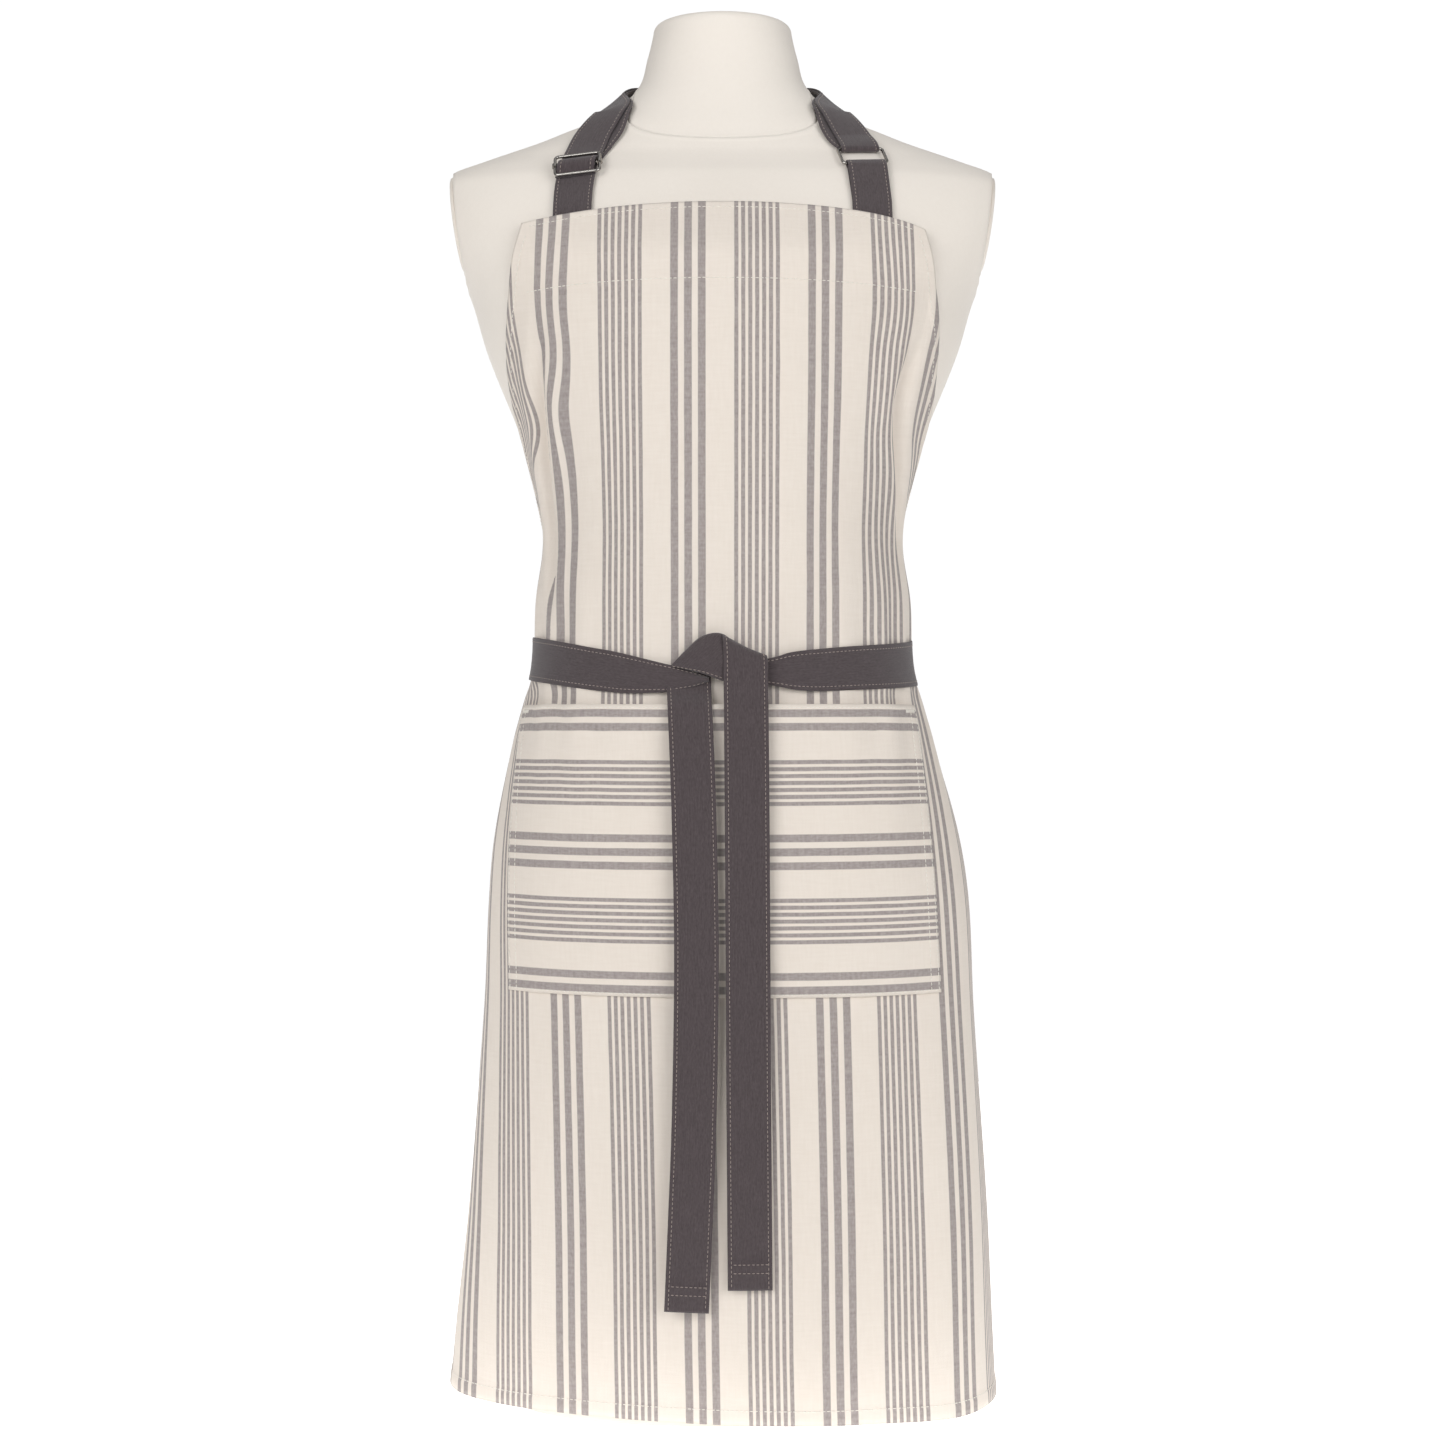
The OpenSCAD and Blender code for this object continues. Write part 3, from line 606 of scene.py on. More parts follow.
def fold_height(s, z):
    """How far the cloth stands out at the distance s round the body; less than 0 is a valley."""
    out = 0.0
    # Each crease is a sharp valley between two soft ridges
    for line, depth, side in ((LEFT_CREASE, LEFT_DEPTH, -1), (RIGHT_CREASE, RIGHT_DEPTH, 1)):
        middle, deep = smooth_at(line, z), np.maximum(smooth_at(depth, z), 0)
        out += deep * (0.35 * bump(s, middle + side * 13, 9) + 0.25 * bump(s, middle - side * 14, 10)
                       - bump(s, middle, 5.5))
    # Short pleats above and below the tie, and long soft ones down the skirt
    from_tie = np.abs(z - 558) / 26
    pulled = 1.3 * from_tie * np.exp(1 - from_tie) * ramp(np.abs(s), 45, 120)
    out += pulled * np.sin(s / 6.1 + 0.8 * np.sin(s / 23))
    falling = ramp(520 - z, 0, 420)
    sides = ramp(np.abs(s), 90, 200)
    out += falling * sides * (2.6 * np.sin(s / 27 + 0.6) + 1.4 * np.sin(s / 15.5 + 2.1))
    out += falling * 1.2 * np.sin(s / 38 + 1.0)
    return out


def bib_room(z):
    """How far the cloth stands off the form; more at the straps' ends, which are sewn behind it."""
    return 1.6 + 5.2 * ramp(z, 835, 865)


def cloth_section(z):
    """Level outline of the cloth's inner face, and each point's distance from the cloth's middle."""
    a, f, b = (max(float(smooth_at(FORM, z, c)) + bib_room(z), float(smooth_at(DRAPE, z, c)))
               for c in (1, 2, 3))
    middle_y, turn, start_x, middle_x = (float(smooth_at(DRAPE, z, c)) for c in (4, 5, 6, 7))
    angle = np.linspace(-268, 88, 1400)
    p = np.stack(section_xy(a, f, b, squareness(z), angle), 1)
    along = lengths(p)
    normal = unit(np.stack([np.gradient(p[:, 1]), -np.gradient(p[:, 0])], 1))
    p = p + fold_height(along - np.interp(-90, angle, along), z)[:, None] * normal
    c, w = math.cos(math.radians(turn)), math.sin(math.radians(turn))
    x, y = p[:, 0] * c - p[:, 1] * w + middle_x, p[:, 0] * w + p[:, 1] * c + middle_y
    p = clear_of_form(np.stack([x, y, np.full(len(x), z)], 1), 1.3)
    along, front = lengths(p), p[:, 1] < 0
    return p, along - np.interp(start_x, p[front, 0], along[front])


def cloth_table():
    """Places of the cloth's inner face over (height, distance from the cloth's middle)."""
    heights = np.arange(HEM_Z, BIB_TOP + 2 * CLOTH_STEP_Z, CLOTH_STEP_Z)
    distance = np.arange(-CLOTH_REACH, CLOTH_REACH + 0.1, CLOTH_STEP_U)
    table = []
    for z in heights:
        points, across = cloth_section(z)
        table.append(resample(points, across, distance))
    return heights, distance, np.array(table)


HEIGHTS, DISTANCE, CLOTH = cloth_table()


def half_width(z):
    """Half of the cloth's flat width at a height."""
    return np.minimum(SKIRT_HALF, smooth_at(SIDE_EDGE, np.clip(z, 555, BIB_TOP)))


def top_edge(u):
    """The bib's top edge sags to its corners, a little more at the right one."""
    t = u / BIB_HALF
    return BIB_TOP - 13 * t ** 2 - 5 * np.where(t > 0, t, 0) ** 8


def cloth_at(u, z):
    """Point of the cloth's inner face at the flat distance u and the height z."""
    p = sampled(CLOTH, (z - HEIGHTS[0]) / CLOTH_STEP_Z, (u - DISTANCE[0]) / CLOTH_STEP_U)
    p[..., 2] = z
    return p


# Length along the cloth from the bib's top, at each height, measured down its middle
UP = lengths(cloth_at(0 * HEIGHTS, HEIGHTS))
DOWN = np.interp(BIB_TOP, HEIGHTS, UP) - UP

# Above this height the panel's rows bend to follow its top edge
TOP_ROWS_FROM = 840.0
PANEL_ROWS = np.concatenate([np.arange(HEM_Z, 540, 4.0), np.arange(540, 620, 3.0),
                             np.arange(620, BIB_TOP, 4.0), [BIB_TOP]])
PANEL_COLUMNS = 201


def panel_uz():
    """Flat distance and height of each point of the panel's grid."""
    level, side = np.meshgrid(PANEL_ROWS, np.linspace(-1, 1, PANEL_COLUMNS), indexing="ij")
    lift = np.clip((level - TOP_ROWS_FROM) / (BIB_TOP - TOP_ROWS_FROM), 0, 1)
    z = level - lift * (BIB_TOP - top_edge(BIB_HALF * side))
    return half_width(z) * side, z


class Surface:
    """The finished panel, looked up by flat distance u and height z."""

    def __init__(self, inner, thick):
        self.normal = grid_normals(inner)
        self.outer = inner + thick[..., None] * self.normal

    def at(self, u, z, lift=0.0):
        """Points of the outer face, raised by lift, and their normals."""
        u, z = np.broadcast_arrays(np.asarray(u, float), np.asarray(z, float))
        stretch = (BIB_TOP - TOP_ROWS_FROM) / (top_edge(u) - TOP_ROWS_FROM)
        level = np.where(z > TOP_ROWS_FROM, TOP_ROWS_FROM + (z - TOP_ROWS_FROM) * stretch, z)
        row = np.interp(level, PANEL_ROWS, np.arange(len(PANEL_ROWS)))
        column = (u / half_width(z) + 1) / 2 * (PANEL_COLUMNS - 1)
        n = unit(sampled(self.normal, row, column))
        return sampled(self.outer, row, column) + np.asarray(lift)[..., None] * n, n


HEM, SIDE_HEM = 10.5, 8.0
BIB_HEM, BIB_HEM_SAG = 60.0, 4.5
CLOTH_THICK = 0.9


def bib_fold(u):
    """Height of the lower edge of the bib's hem, which is straighter than its top edge."""
    return BIB_TOP - BIB_HEM - BIB_HEM_SAG * (u / BIB_HALF) ** 2


def hem_cover(u, z):
    """1 where the cloth is folded double."""
    to_side = half_width(z) - np.abs(u)
    return np.maximum.reduce([ramp(HEM + 1 - (z - HEM_Z), 0, 2), ramp(SIDE_HEM + 1 - to_side, 0, 2),
                              ramp(z + 1 - bib_fold(u), 0, 2)])


def eased(u, z):
    """How far the stripes are shifted outwards at the sides, for the cloth gathered in folds there."""
    far = np.abs(u)
    pinch = bump(z, 742, 32)
    waist = 26 * ramp(z, 535, 565) * (1 - ramp(z, 700, 800)) * (1 - 0.8 * pinch) * ramp(far, 95, 200)
    chest = 6 * bump(z, 825, 38) * ramp(far, 90, 135)
    crease = np.where(u < 0, 10, 0) * pinch * bump(far, 134, np.where(far > 134, 14, 20))
    return waist + chest + crease


def apron_panel():
    """The panel, thicker where it is hemmed. Gives its surface for what lies on it."""
    u, z = panel_uz()
    inner = cloth_at(u, z)
    thick = CLOTH_THICK + 0.7 * hem_cover(u, z)
    surface = Surface(inner, thick)
    uv = np.stack([u - np.sign(u) * eased(u, z), np.interp(z, HEIGHTS, DOWN)], -1) * MM
    panel = skin("apron_cloth", surface.outer, inner, STRIPED, uv=uv)
    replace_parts(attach(panel, "root"), "apron_panel")
    return surface


# ---- Stitches ----

def stitches(name, runs, material, body="root", pitch=3.5, long=2.5, radius=0.3):
    """Rows of small raised stitches. A run is (points, normals) along a seam, in millimetres."""
    sides, rings = 5, 3
    points, faces, first = [], [], 0
    for line, normal in runs:
        at = lengths(line)
        count = int(at[-1] / pitch)
        if count < 1:
            continue
        start = (np.arange(count) + 0.2) * pitch
        place = [resample(line, at, start + long * k / 2) for k in range(rings)]
        up = unit(resample(normal, at, start))
        side = unit(np.cross(up, unit(place[2] - place[0])))
        for ring, high, thick in zip(place, (-0.1, 0.12, -0.1), (0.65, 1.0, 0.65)):
            for t in range(sides):
                a = math.tau * t / sides
                rise = up * (high + radius * thick * math.sin(a))
                points.append(ring + rise + side * radius * thick * 1.15 * math.cos(a))
        for n in range(count):
            index = [[first + (k * sides + t) * count + n for t in range(sides)]
                     for k in range(rings)]
            for low, high in zip(index, index[1:]):
                for t in range(sides):
                    w = (t + 1) % sides
                    faces.append((low[t], low[w], high[w], high[t]))
            faces.append(tuple(index[0][::-1]))
            faces.append(tuple(index[-1]))
        first += sides * rings * count
    piece = make_mesh(name, np.concatenate(points), faces, material)
    return on_body(piece, body)


def webbing_stitches(name, runs, body="root"):
    """The finer grey stitches along straps and ties."""
    return stitches(name, runs, GREY_THREAD, body, pitch=3.3, long=2.0, radius=0.25)


def panel_seams(surface):
    """The white stitch lines of the hems."""
    wide = np.linspace(-1, 1, 400)
    fold, top, hem = wide * (BIB_HALF + 3), wide * (BIB_HALF - 3), wide * (SKIRT_HALF - 4)
    lines = [(fold, bib_fold(fold) + 1), (top, top_edge(top) - 4.5), (hem, HEM_Z + HEM)]
    z = np.linspace(HEM_Z + 6, top_edge(BIB_HALF) - 5, 600)
    lines += [(side * (half_width(z) - SIDE_HEM + 1), z) for side in (-1, 1)]
    runs = [surface.at(u, height, 0.05) for u, height in lines]
    stitches("apron_stitching", runs, WHITE_THREAD)


# ---- Pocket ----

def pocket_uz(across, up):
    """Flat distance and height at shares of the pocket, -1 to 1 across and 0 to 1 up."""
    u = np.where(across < 0, across * POCKET_LEFT, across * POCKET_RIGHT)
    return u, POCKET_BOTTOM + up * (POCKET_TOP - POCKET_BOTTOM)


def pocket_lift(across, up):
    """How far the pocket stands off the panel: most at its mouth, and nothing at its seams."""
    return 0.35 + (1 - np.abs(across) ** 6) * np.minimum(1, up * 6) * (2.2 + 3.6 * up ** 2)


def pocket(surface):
    """The patch pocket, with its double side seams and the bar tacks at its mouth."""
    rows, columns = 72, 121
    up, across = np.meshgrid(np.linspace(0, 1, rows), np.linspace(-1, 1, columns), indexing="ij")
    u, z = pocket_uz(across, up)
    inner, _ = surface.at(u, z, pocket_lift(across, up))
    normal = grid_normals(inner)
    to_side = np.minimum(u + POCKET_LEFT, POCKET_RIGHT - u)
    folded = np.maximum.reduce([ramp(9.5 - to_side, 0, 2), ramp(z - POCKET_TOP + 20, 0, 2),
                                ramp(POCKET_BOTTOM + 9 - z, 0, 2)])
    outer = inner + (CLOTH_THICK + 0.6 * folded)[..., None] * normal
    down = (POCKET_TOP - z - 6.6) * MM - 0.25 * STRIPE_REPEAT * MM
    piece = skin("pocket_cloth", outer, inner, STRIPED, uv=np.stack([down, u * MM], -1))
    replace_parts(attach(piece, "root"), "pocket_panel")
    tall = POCKET_TOP - POCKET_BOTTOM

    def on_pocket(x, y, lift):
        """Points and normals at shares of the pocket, raised by lift."""
        x, y = np.broadcast_arrays(np.asarray(x, float), np.asarray(y, float))
        row, column = y * (rows - 1), (x + 1) / 2 * (columns - 1)
        out = sampled(normal, row, column)
        return sampled(outer, row, column) + lift * out, unit(out)

    line = np.linspace(0, 1, 300)
    seams = []
    for inset in (2.0, 9.0):
        seams.append(on_pocket(-1 + inset / POCKET_LEFT, 0.006 + line * 0.985, 0.05))
        seams.append(on_pocket(1 - inset / POCKET_RIGHT, 0.006 + line * 0.985, 0.05))
    for height in (2.2, tall - 2.6):
        seams.append(on_pocket(line * 1.97 - 0.985, height / tall, 0.05))
    stitches("pocket_stitching", seams, WHITE_THREAD)
    tack_wide, tack_inset = 11.0, 4.5
    ends = [(tack_inset - POCKET_LEFT, POCKET_LEFT),
            (POCKET_RIGHT - tack_inset - tack_wide, POCKET_RIGHT)]
    tacks = []
    for start, half in ends:
        for k in range(12):
            x = (start + tack_wide * k / 11) / half
            tacks.append(on_pocket(x, 1 - np.array([2.6, 4.2, 5.8, 7.4]) / tall, 0.15))
    bartacks = stitches("pocket_bar_tacks", tacks, WHITE_THREAD, pitch=3.3, long=3.1, radius=0.34)
    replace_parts(bartacks, "pocket_bartacks")


# ---- Straps and ties ----

# Webbing's points across its width, the share of its thickness at each, and its stitched grooves
WEBBING_ACROSS = np.array([-1, -0.965, -0.9, -0.83, -0.5, 0, 0.5, 0.83, 0.9, 0.965, 1.0])
WEBBING_EDGE = np.array([0.45, 0.85, 1.0, 0.86, 1.0, 1.0, 1.0, 0.86, 1.0, 0.85, 0.45])
GROOVES = (3, 7)


def ribbon(name, centre, normal, width, thick, body="root", end_fold=0, rise=None):
    """Flat strap along a centre line, double over the end fold. Gives its front and back seams too."""
    tangent = unit(np.gradient(centre, axis=0))
    side = unit(np.cross(tangent, unit(normal)))
    normal = unit(np.cross(side, tangent))
    along = lengths(centre)
    across = WEBBING_ACROSS[None] * width / 2
    layers = np.ones(len(along))
    if end_fold:
        layers += 0.8 * ramp(along - (along[-1] - end_fold), -1, 1)
    base = centre[:, None] + side[:, None] * across[..., None]
    if rise is not None:
        base = base + rise[..., None] * normal[:, None]
    face = normal[:, None] * WEBBING_EDGE[None, :, None] * thick
    outer = base + face * (layers - 0.5)[:, None, None]
    inner = base - face * 0.5
    uv = np.stack(np.broadcast_arrays(along[:, None], across), -1) * MM
    piece = skin(name, outer, inner, CHARCOAL, uv=uv)
    on_body(piece, body)
    front = [(outer[:, k] + 0.02 * normal, normal) for k in GROOVES]
    back = [(inner[:, k] - 0.02 * normal, -normal) for k in GROOVES]
    return piece, front, back, along[-1]


# The neck strap's path: (x, z) over the chest, then (angle, z) round the neck to the nape
STRAP_CHEST = [(110, 868), (110, 884), (110, 901), (109, 916), (107, 928), (104.3, 938), (101.5, 947),
               (97.5, 957), (92, 966), (87, 973), (82, 979.5)]
STRAP_NECK = [(-4, 990), (10, 996), (30, 1000), (50, 1002), (70, 1003), (90, 1003)]
# Extra lift off the form at each height, and the lift of the strap's lower and upper runs
STRAP_LIFT = ([952, 966, 980, 1010], [0, 1.2, 3.0, 3.2])
UNDER_RUN, OVER_RUN = 1.4, 3.2
STRAP_THICK = 1.2
SLIDER_AT, RING_AT = (107, 928), (104.3, 938)
RING_LIFT, RING_TALL, WIRE = 3.45, 21.0, 2.4
SLIDER_TURN = 15.0


def front_angle(x, z):
    """Angle round the form of the front point at x."""
    return float(-np.degrees(np.arccos((x / smooth_at(FORM, z, 1)) ** (squareness(z) / 2))))


def strap_side(lift, first=0):
    """Points and normals of the right side of the neck strap, from the bib to the nape."""
    chest = STRAP_CHEST[first:]
    angle = np.array([front_angle(x, z) for x, z in chest] + [a for a, _ in STRAP_NECK])
    z = np.array([z for _, z in chest + STRAP_NECK], float)
    normal = form_normal(angle, z)
    points = form_point(angle, z) + (lift + np.interp(z, *STRAP_LIFT))[:, None] * normal
    return points, normal


def mirrored(pair):
    """The same points and normals on the other side of the body."""
    return tuple(part * [-1, 1, 1] for part in pair)


def backwards(pair):
    return tuple(part[::-1] for part in pair)


def without_last(pair):
    return tuple(part[:-1] for part in pair)


def turned_over(pair):
    """The same points, with the other face of the strap outwards."""
    return pair[0], -pair[1]


def joined(*pairs):
    return tuple(np.concatenate(part) for part in zip(*pairs))


def hardware(at, lift):
    """Place, normal and upward direction of a ring or slider that lies on the right strap."""
    x, z = at
    angle = front_angle(x, z)
    normal = form_normal(angle, z)
    low = form_point(front_angle(x + 1.5, z - 6), z - 6)
    high = form_point(front_angle(x - 2, z + 6), z + 6)
    up = high - low
    up = unit(up - (up @ normal) * normal)
    return form_point(angle, z) + lift * normal, normal, up


def bar_turn(side):
    """Half turn of strap round a bar of the ring; side is 1 for the upper bar."""
    place, normal, up = hardware(RING_AT, RING_LIFT)
    bar = place + side * (RING_TALL - WIRE) / 2 * up
    r = RING_LIFT - UNDER_RUN
    turn = np.radians(np.linspace(0, 180, 13))
    out = np.cos(turn)[:, None] * normal - side * np.sin(turn)[:, None] * up
    ends = [bar + r * normal + side * 5 * up, bar - r * normal + side * 5 * up]
    return (np.concatenate([[ends[0]], bar + r * out, [ends[1]]]),
            np.concatenate([[normal], out, [-normal]]))


def dense(pair, count):
    """A smooth line of count points through the pair's, with its normals."""
    both = spline(np.column_stack(pair), count)
    return both[:, :3], unit(both[:, 3:])


def nearer_neck(pair):
    """Moves the return run in towards the neck at the shoulder, so that it shows beside the upper run."""
    points, normal = pair
    side = unit(np.cross(unit(np.gradient(points, axis=0)), normal))
    near = bump(points[:, 2], 964, 17)[:, None]
    return points - side * near * 7.0 - normal * near * 0.6, normal


def neck_strap():
    """The strap from the left of the bib round the nape, through the ring and back; the ring's tab."""
    over_left = dense(without_last(mirrored(strap_side(OVER_RUN))), 150)
    over_right = dense(backwards(strap_side(OVER_RUN, 7)), 110)
    under_right = nearer_neck(dense(without_last(strap_side(UNDER_RUN, 7)), 110))
    under_left = nearer_neck(dense(backwards(mirrored(strap_side(UNDER_RUN, 5))), 130))
    route = joined(over_left, over_right, bar_turn(1), turned_over(under_right), turned_over(under_left))
    centre, normal = dense(route, 640)
    strap, front, back, length = ribbon("neck_strap_cloth", centre, normal, STRAP_WIDTH - 0.8,
                                        STRAP_THICK - 0.15)
    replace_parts(strap, "neck_strap")
    webbing_stitches("neck_strap_stitching", front + back)

    first = tuple(part[:3] for part in strap_side(OVER_RUN))
    last = tuple(part[:3] for part in strap_side(UNDER_RUN))
    route = joined(dense(first, 24), bar_turn(-1), turned_over(dense(backwards(last), 24)))
    centre, normal = dense(route, 130)
    tab, front, back, length = ribbon("ring_tab_cloth", centre, normal, STRAP_WIDTH - 0.4,
                                      STRAP_THICK - 0.15)
    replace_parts(tab, "ring_tab")
    webbing_stitches("ring_tab_stitching", front + back)


# Height of the strap over the form where it passes over the slider's middle bar and under its rails
HUMP = np.array([
    [-14, 4.35], [-9, 4.4], [-6.4, 5.9], [-3.0, 8.8], [0, 9.4], [3.0, 8.8], [6.4, 5.9],
    [9, 4.4], [14, 4.35]], float)


def slider_hump():
    """The strap where it passes over the slider's middle bar; it slides with the slider."""
    place, normal, up = hardware(SLIDER_AT, 0)
    place, normal, up = place * [-1, 1, 1], normal * [-1, 1, 1], up * [-1, 1, 1]
    inward = unit(np.cross(up, normal))
    lean = math.radians(SLIDER_TURN)
    d, t = np.meshgrid(np.linspace(-10.6, 10.6, 53), np.linspace(-13.8, 13.8, 29), indexing="ij")
    reach = d / math.cos(lean) + t * math.tan(lean)
    crown = 0.5 * (1 - (t / 13.8) ** 8)
    height = smooth_at(HUMP, d) + crown * bump(d, 0, 5)
    base = place + reach[..., None] * up + t[..., None] * inward + height[..., None] * normal
    out = grid_normals(base)
    edge = np.minimum(1, (14.2 - np.abs(t)) / 1.2)[..., None]
    outer, inner = base + 0.45 * edge * out, base - 0.5 * edge * out
    hump = skin("slider_strap_hump", outer, inner, CHARCOAL, uv=np.stack([reach, t], -1) * MM)
    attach(hump, "slider")
    runs = [(outer[:, k] + 0.02 * out[:, k], out[:, k]) for k in (3, 25)]
    webbing_stitches("slider_hump_stitching", runs, body="slider")


# Edges of the ties seen from the front: [angle round the body, top height, bottom height]
RIGHT_TIE = np.array([
    [57, 583.5, 551.5], [150, 583.5, 551.5], [180, 583, 550.4], [210, 579, 546.5], [236, 571, 540.5],
    [245, 567, 538.6], [255, 561, 538.8], [260, 557.5, 540.2], [264, 553.5, 543.2],
    [267.6, 549.6, 547.6]], float)
LEFT_TIE = np.array([
    [57, 583.5, 551.5], [150, 583, 551], [180, 580.5, 546.2], [205, 577, 543.5], [232, 573.5, 541.2],
    [246, 570.8, 540.0], [250, 569.8, 540.3], [254, 568.2, 541.2], [258, 565, 543.6],
    [262, 562.5, 545.6]], float)
# Where they cross behind, one rises and one sinks by this, within so many degrees of the middle
CROSS_RISE, CROSS_HALF = 17.2, 25.0
TIE_ACROSS = np.array([0, 0.02, 0.06, 0.10, 0.3, 0.5, 0.7, 0.90, 0.94, 0.98, 1.0])


def tie_surface(angle, z, d):
    """Point at the distance d outside the waist of the panel."""
    a, f, b = (np.maximum(smooth_at(FORM, z, c) + 1.6, smooth_at(DRAPE, z, c)) + d for c in (1, 2, 3))
    x, y = section_xy(a, f, b, squareness(z), angle)
    return np.stack([x, y, z], -1)


def waist_tie(name, node, table, pass_sign, mirror, knot_lift):
    """A tie from the panel's back edge, across behind and round to the knot."""
    angle = np.concatenate([np.linspace(57, 125, 90), np.linspace(126, 232, 90),
                            np.linspace(233, table[-1, 0], 80)])
    from_back = np.abs(angle - 90)
    wave = (1 + np.cos(np.radians(180 * from_back / CROSS_HALF))) / 2
    shift = pass_sign * CROSS_RISE * np.where(from_back < CROSS_HALF, wave, 0)
    top, low = smooth_at(table, angle, 1) + shift, smooth_at(table, angle, 2) + shift
    layer = 2.2 + 2.6 * ramp(angle, 86, 94) * (1 - ramp(angle, 126, 142))
    layer = layer + knot_lift * ramp(angle, 238, 258)
    z = top[:, None] + (low - top)[:, None] * TIE_ACROSS
    # Where the tie is squeezed in height it cups outwards instead
    crumple = 1 - np.clip((top - low) / (TIE_WIDTH - 2), 0, 1)
    arch = np.sin(math.pi * TIE_ACROSS)[None]
    cup = crumple[:, None] * 5.5 * arch ** 0.8
    ripple = 0.35 * np.sin(angle[:, None] / 4.3 + TIE_ACROSS[None] * 2.0) * arch
    base = tie_surface(np.broadcast_to(angle[:, None], z.shape), z, layer[:, None] + cup + ripple)
    normal = -grid_normals(base)
    outward = (normal[..., :2] * base[..., :2]).sum(-1, keepdims=True)
    normal = np.where(outward < 0, -normal, normal)
    outer = base + normal * WEBBING_EDGE[None, :, None] * 0.7
    inner = base - normal * WEBBING_EDGE[None, :, None] * 0.5
    along = lengths(base[:, 5])
    uv = np.stack(np.broadcast_arrays(along[:, None], (TIE_ACROSS[None] - 0.5) * TIE_WIDTH), -1) * MM
    runs = [(outer[:, k], normal[:, k]) for k in GROOVES]
    if mirror:
        flip = np.array([-1, 1, 1])
        outer, inner, uv = outer[:, ::-1] * flip, inner[:, ::-1] * flip, uv[:, ::-1]
        runs = [(points * flip, out * flip) for points, out in runs]
    piece = skin(name, outer, inner, CHARCOAL, uv=uv)
    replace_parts(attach(piece, "root"), node)
    webbing_stitches(f"{name}_stitching", runs)


def knot():
    """The tie that wraps up over the left one and folds over to become the right tail."""
    steps, rows = 40, 19
    lower = spline([(-36.5, -113.4, 558.3), (-27, -117.6, 556.2), (-14, -120.4, 552.6),
                    (0, -121.2, 547.5), (8, -120.6, 546)], steps)
    upper = spline([(-36.5, -113.2, 559.3), (-26, -116.4, 570), (-16, -117.6, 579),
                    (-7, -118.2, 582.0), (1, -118.6, 581.0), (9, -118.8, 574)], steps)
    share = np.linspace(0, 1, rows)[None]
    along = np.linspace(0, 1, steps)[:, None]
    flat = lower[:, None] * (1 - share[..., None]) + upper[:, None] * share[..., None]
    arch = np.sin(math.pi * share)
    bulge = arch ** 0.7 * 2.4 * ramp(along, 0, 0.35) + 0.5 * np.sin(9 * share + 4 * along) * arch
    base = (flat + np.array([0.0, -1.0, 0.15]) * bulge[..., None]).transpose(1, 0, 2)
    normal = grid_normals(base)
    uv = np.stack([base[..., 0] + base[..., 2], base[..., 2] - base[..., 0]], -1) * MM
    wrap = skin("knot_wrap", base + 0.7 * normal, base - 0.6 * normal, CHARCOAL, uv=uv)
    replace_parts(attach(wrap, "root"), "tie_knot")
    webbing_stitches("knot_stitching", [(base[1] + 0.8 * normal[1], normal[1])])


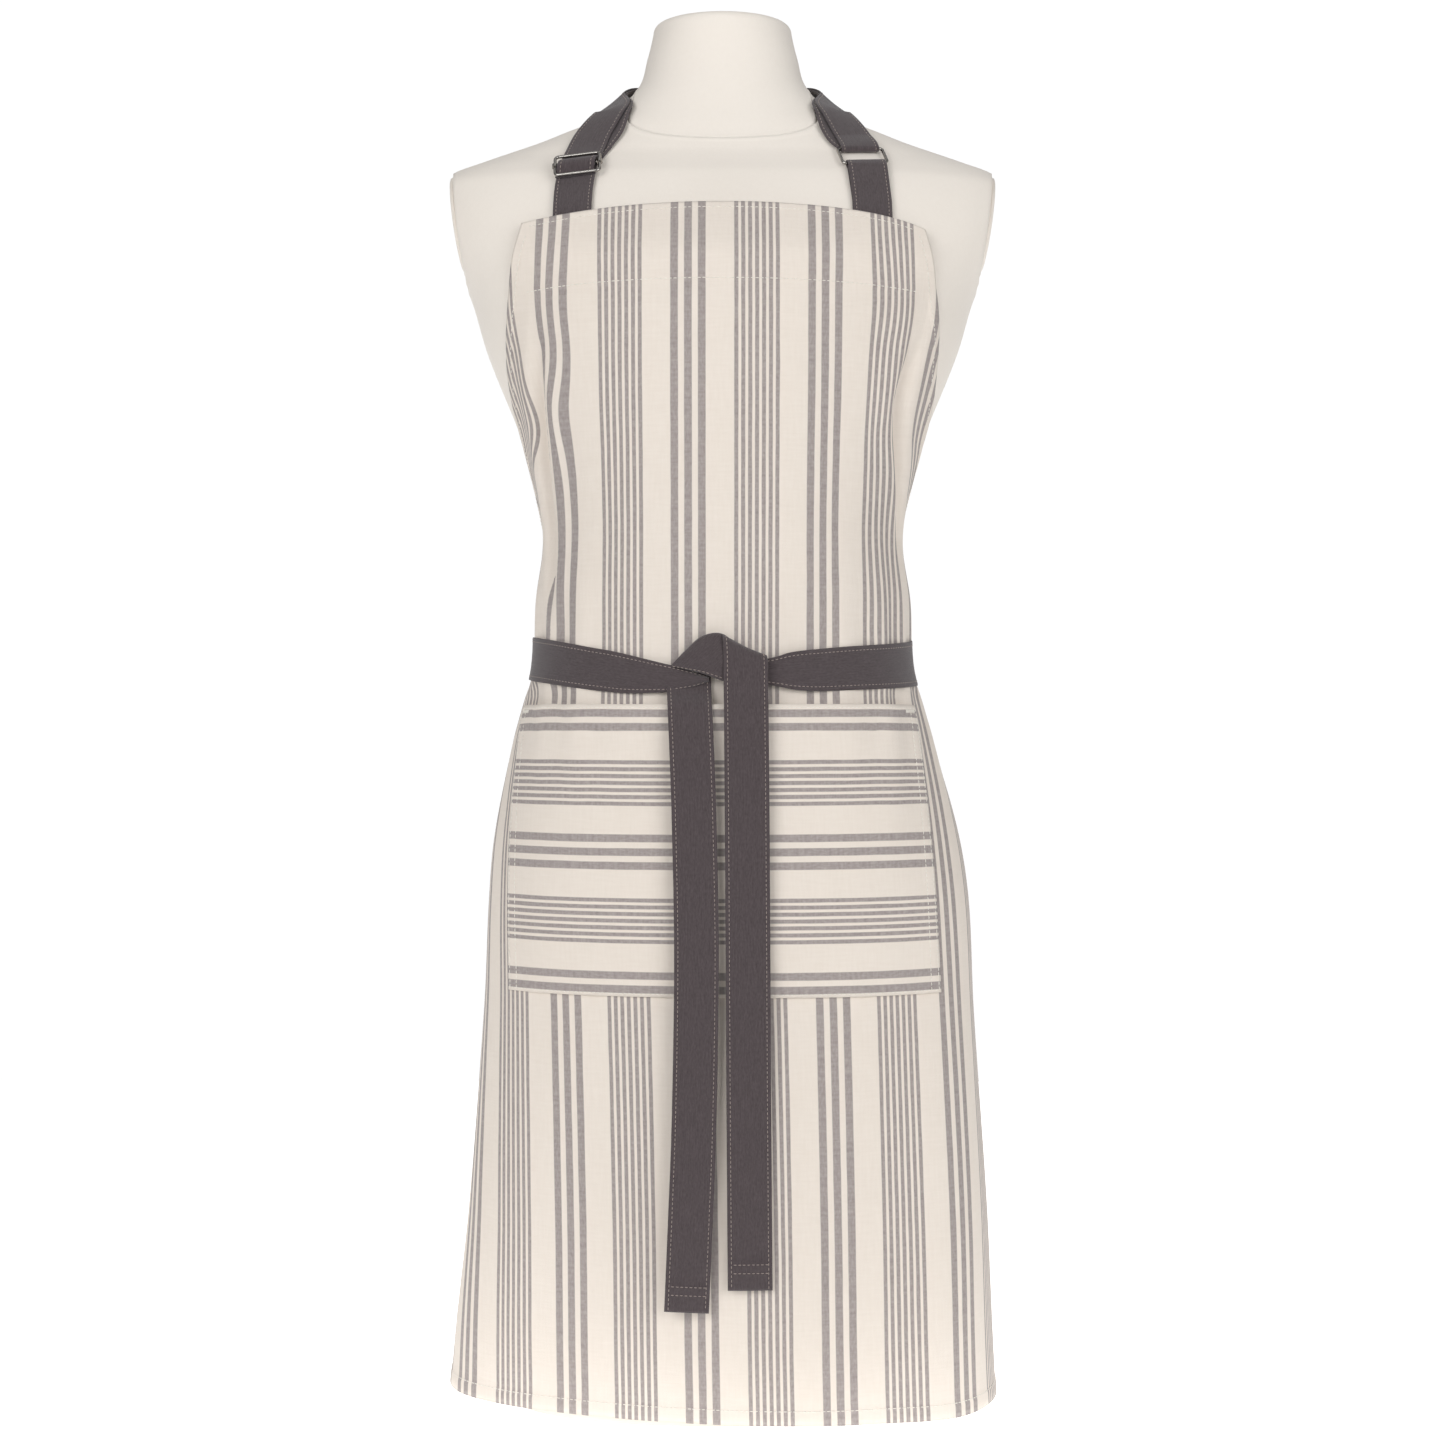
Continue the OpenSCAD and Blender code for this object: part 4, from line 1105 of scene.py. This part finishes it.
def tail(name, node, line, top_slope):
    """Loose tail of a tie: bends out of the knot and hangs; its folded end has two stitch rows."""
    path = spline(line, 230)
    tangent = unit(np.gradient(path, axis=0))
    normal = unit(np.cross(tangent, np.array([1.0, 0, 0])))
    share, across = np.linspace(0, 1, len(path))[:, None], WEBBING_ACROSS[None]
    sway = 0.55 * np.sin(share * 9.0) * across + 0.5 * across ** 2 * np.sin(share * 5 + 1)
    piece, _, back, length = ribbon(name, path, normal, TIE_WIDTH + 0.4, 1.3, body=None,
                                    end_fold=20, rise=sway)
    # The first stretch slopes as it leaves the fold of the knot
    mesh = piece.data
    points = np.zeros(len(mesh.vertices) * 3)
    mesh.vertices.foreach_get("co", points)
    points = points.reshape(2, len(path), len(WEBBING_ACROSS), 3)
    points[..., 2] += (1 - ramp(share, 0, 0.06)) * across * top_slope * MM
    mesh.vertices.foreach_set("co", points.ravel())
    mesh.update()
    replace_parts(piece, node)
    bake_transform(piece)
    outer = points[0] / MM
    seams = [(outer[:, k] + 0.02 * normal, normal) for k in GROOVES]
    wide = np.linspace(-0.86, 0.86, 40)
    for gap in (11.5, 19.0):
        row = int(np.argmin(np.abs(share[:, 0] * length - (length - gap))))
        cross = resample(outer[row], WEBBING_ACROSS, wide) + 0.05 * normal[row]
        seams.append((cross, normal[row] + 0 * cross))
    rows = webbing_stitches(f"{name}_stitching", seams + back, body=None)
    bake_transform(rows)


LEFT_TAIL = [(-25, -112.0, 553), (-24.6, -113.2, 546), (-24.3, -116.6, 538.5), (-23.8, -123.6, 529),
             (-22.4, -132.2, 500), (-20.6, -135.4, 450), (-18.8, -136.4, 350), (-20.5, -136.6, 230),
             (-23.5, -136.4, 150), (-26, -136.2, LEFT_TAIL_END)]
RIGHT_TAIL = [(15.2, -114.5, 570), (15.8, -117.8, 572.2), (16.4, -121.6, 570.5), (16.9, -123.4, 564),
              (17.0, -124, 548), (17.2, -128.6, 528), (17.4, -133.2, 500), (17.8, -135.8, 450),
              (18.4, -136.6, 350), (19.0, -136.8, 240), (20, -136.6, RIGHT_TAIL_END)]


def ties():
    """Both waist ties, the half knot and the two loose tails."""
    waist_tie("tie_right_cloth", "waist_tie_right", RIGHT_TIE, 1, False, 3.4)
    waist_tie("tie_left_cloth", "waist_tie_left", LEFT_TIE, -1, True, 5.2)
    knot()
    tail("tail_left_cloth", "tie_tail_left", LEFT_TAIL, 0.0)
    tail("tail_right_cloth", "tie_tail_right", RIGHT_TAIL, 8.5)


def hardware_finish():
    """Materials for the CAD nodes that are shown as they are."""
    kept = {
        "strap_ring": NICKEL, "slider_frame": NICKEL, "slider_bar": NICKEL, "slider_sleeve": CHARCOAL,
        "base_board": PLYWOOD, "fixing_blocks": PLYWOOD, "base_screws": ZINC,
        "pole_socket": BLACK_STEEL, "socket_screws": ZINC}
    for node, material in kept.items():
        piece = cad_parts[node]
        if not piece.material_slots:
            piece.data.materials.append(material)
        for slot in piece.material_slots:
            slot.material = material


camera_and_lights()
studio()
dress_form()
SURFACE = apron_panel()
panel_seams(SURFACE)
pocket(SURFACE)
neck_strap()
slider_hump()
ties()
hardware_finish()
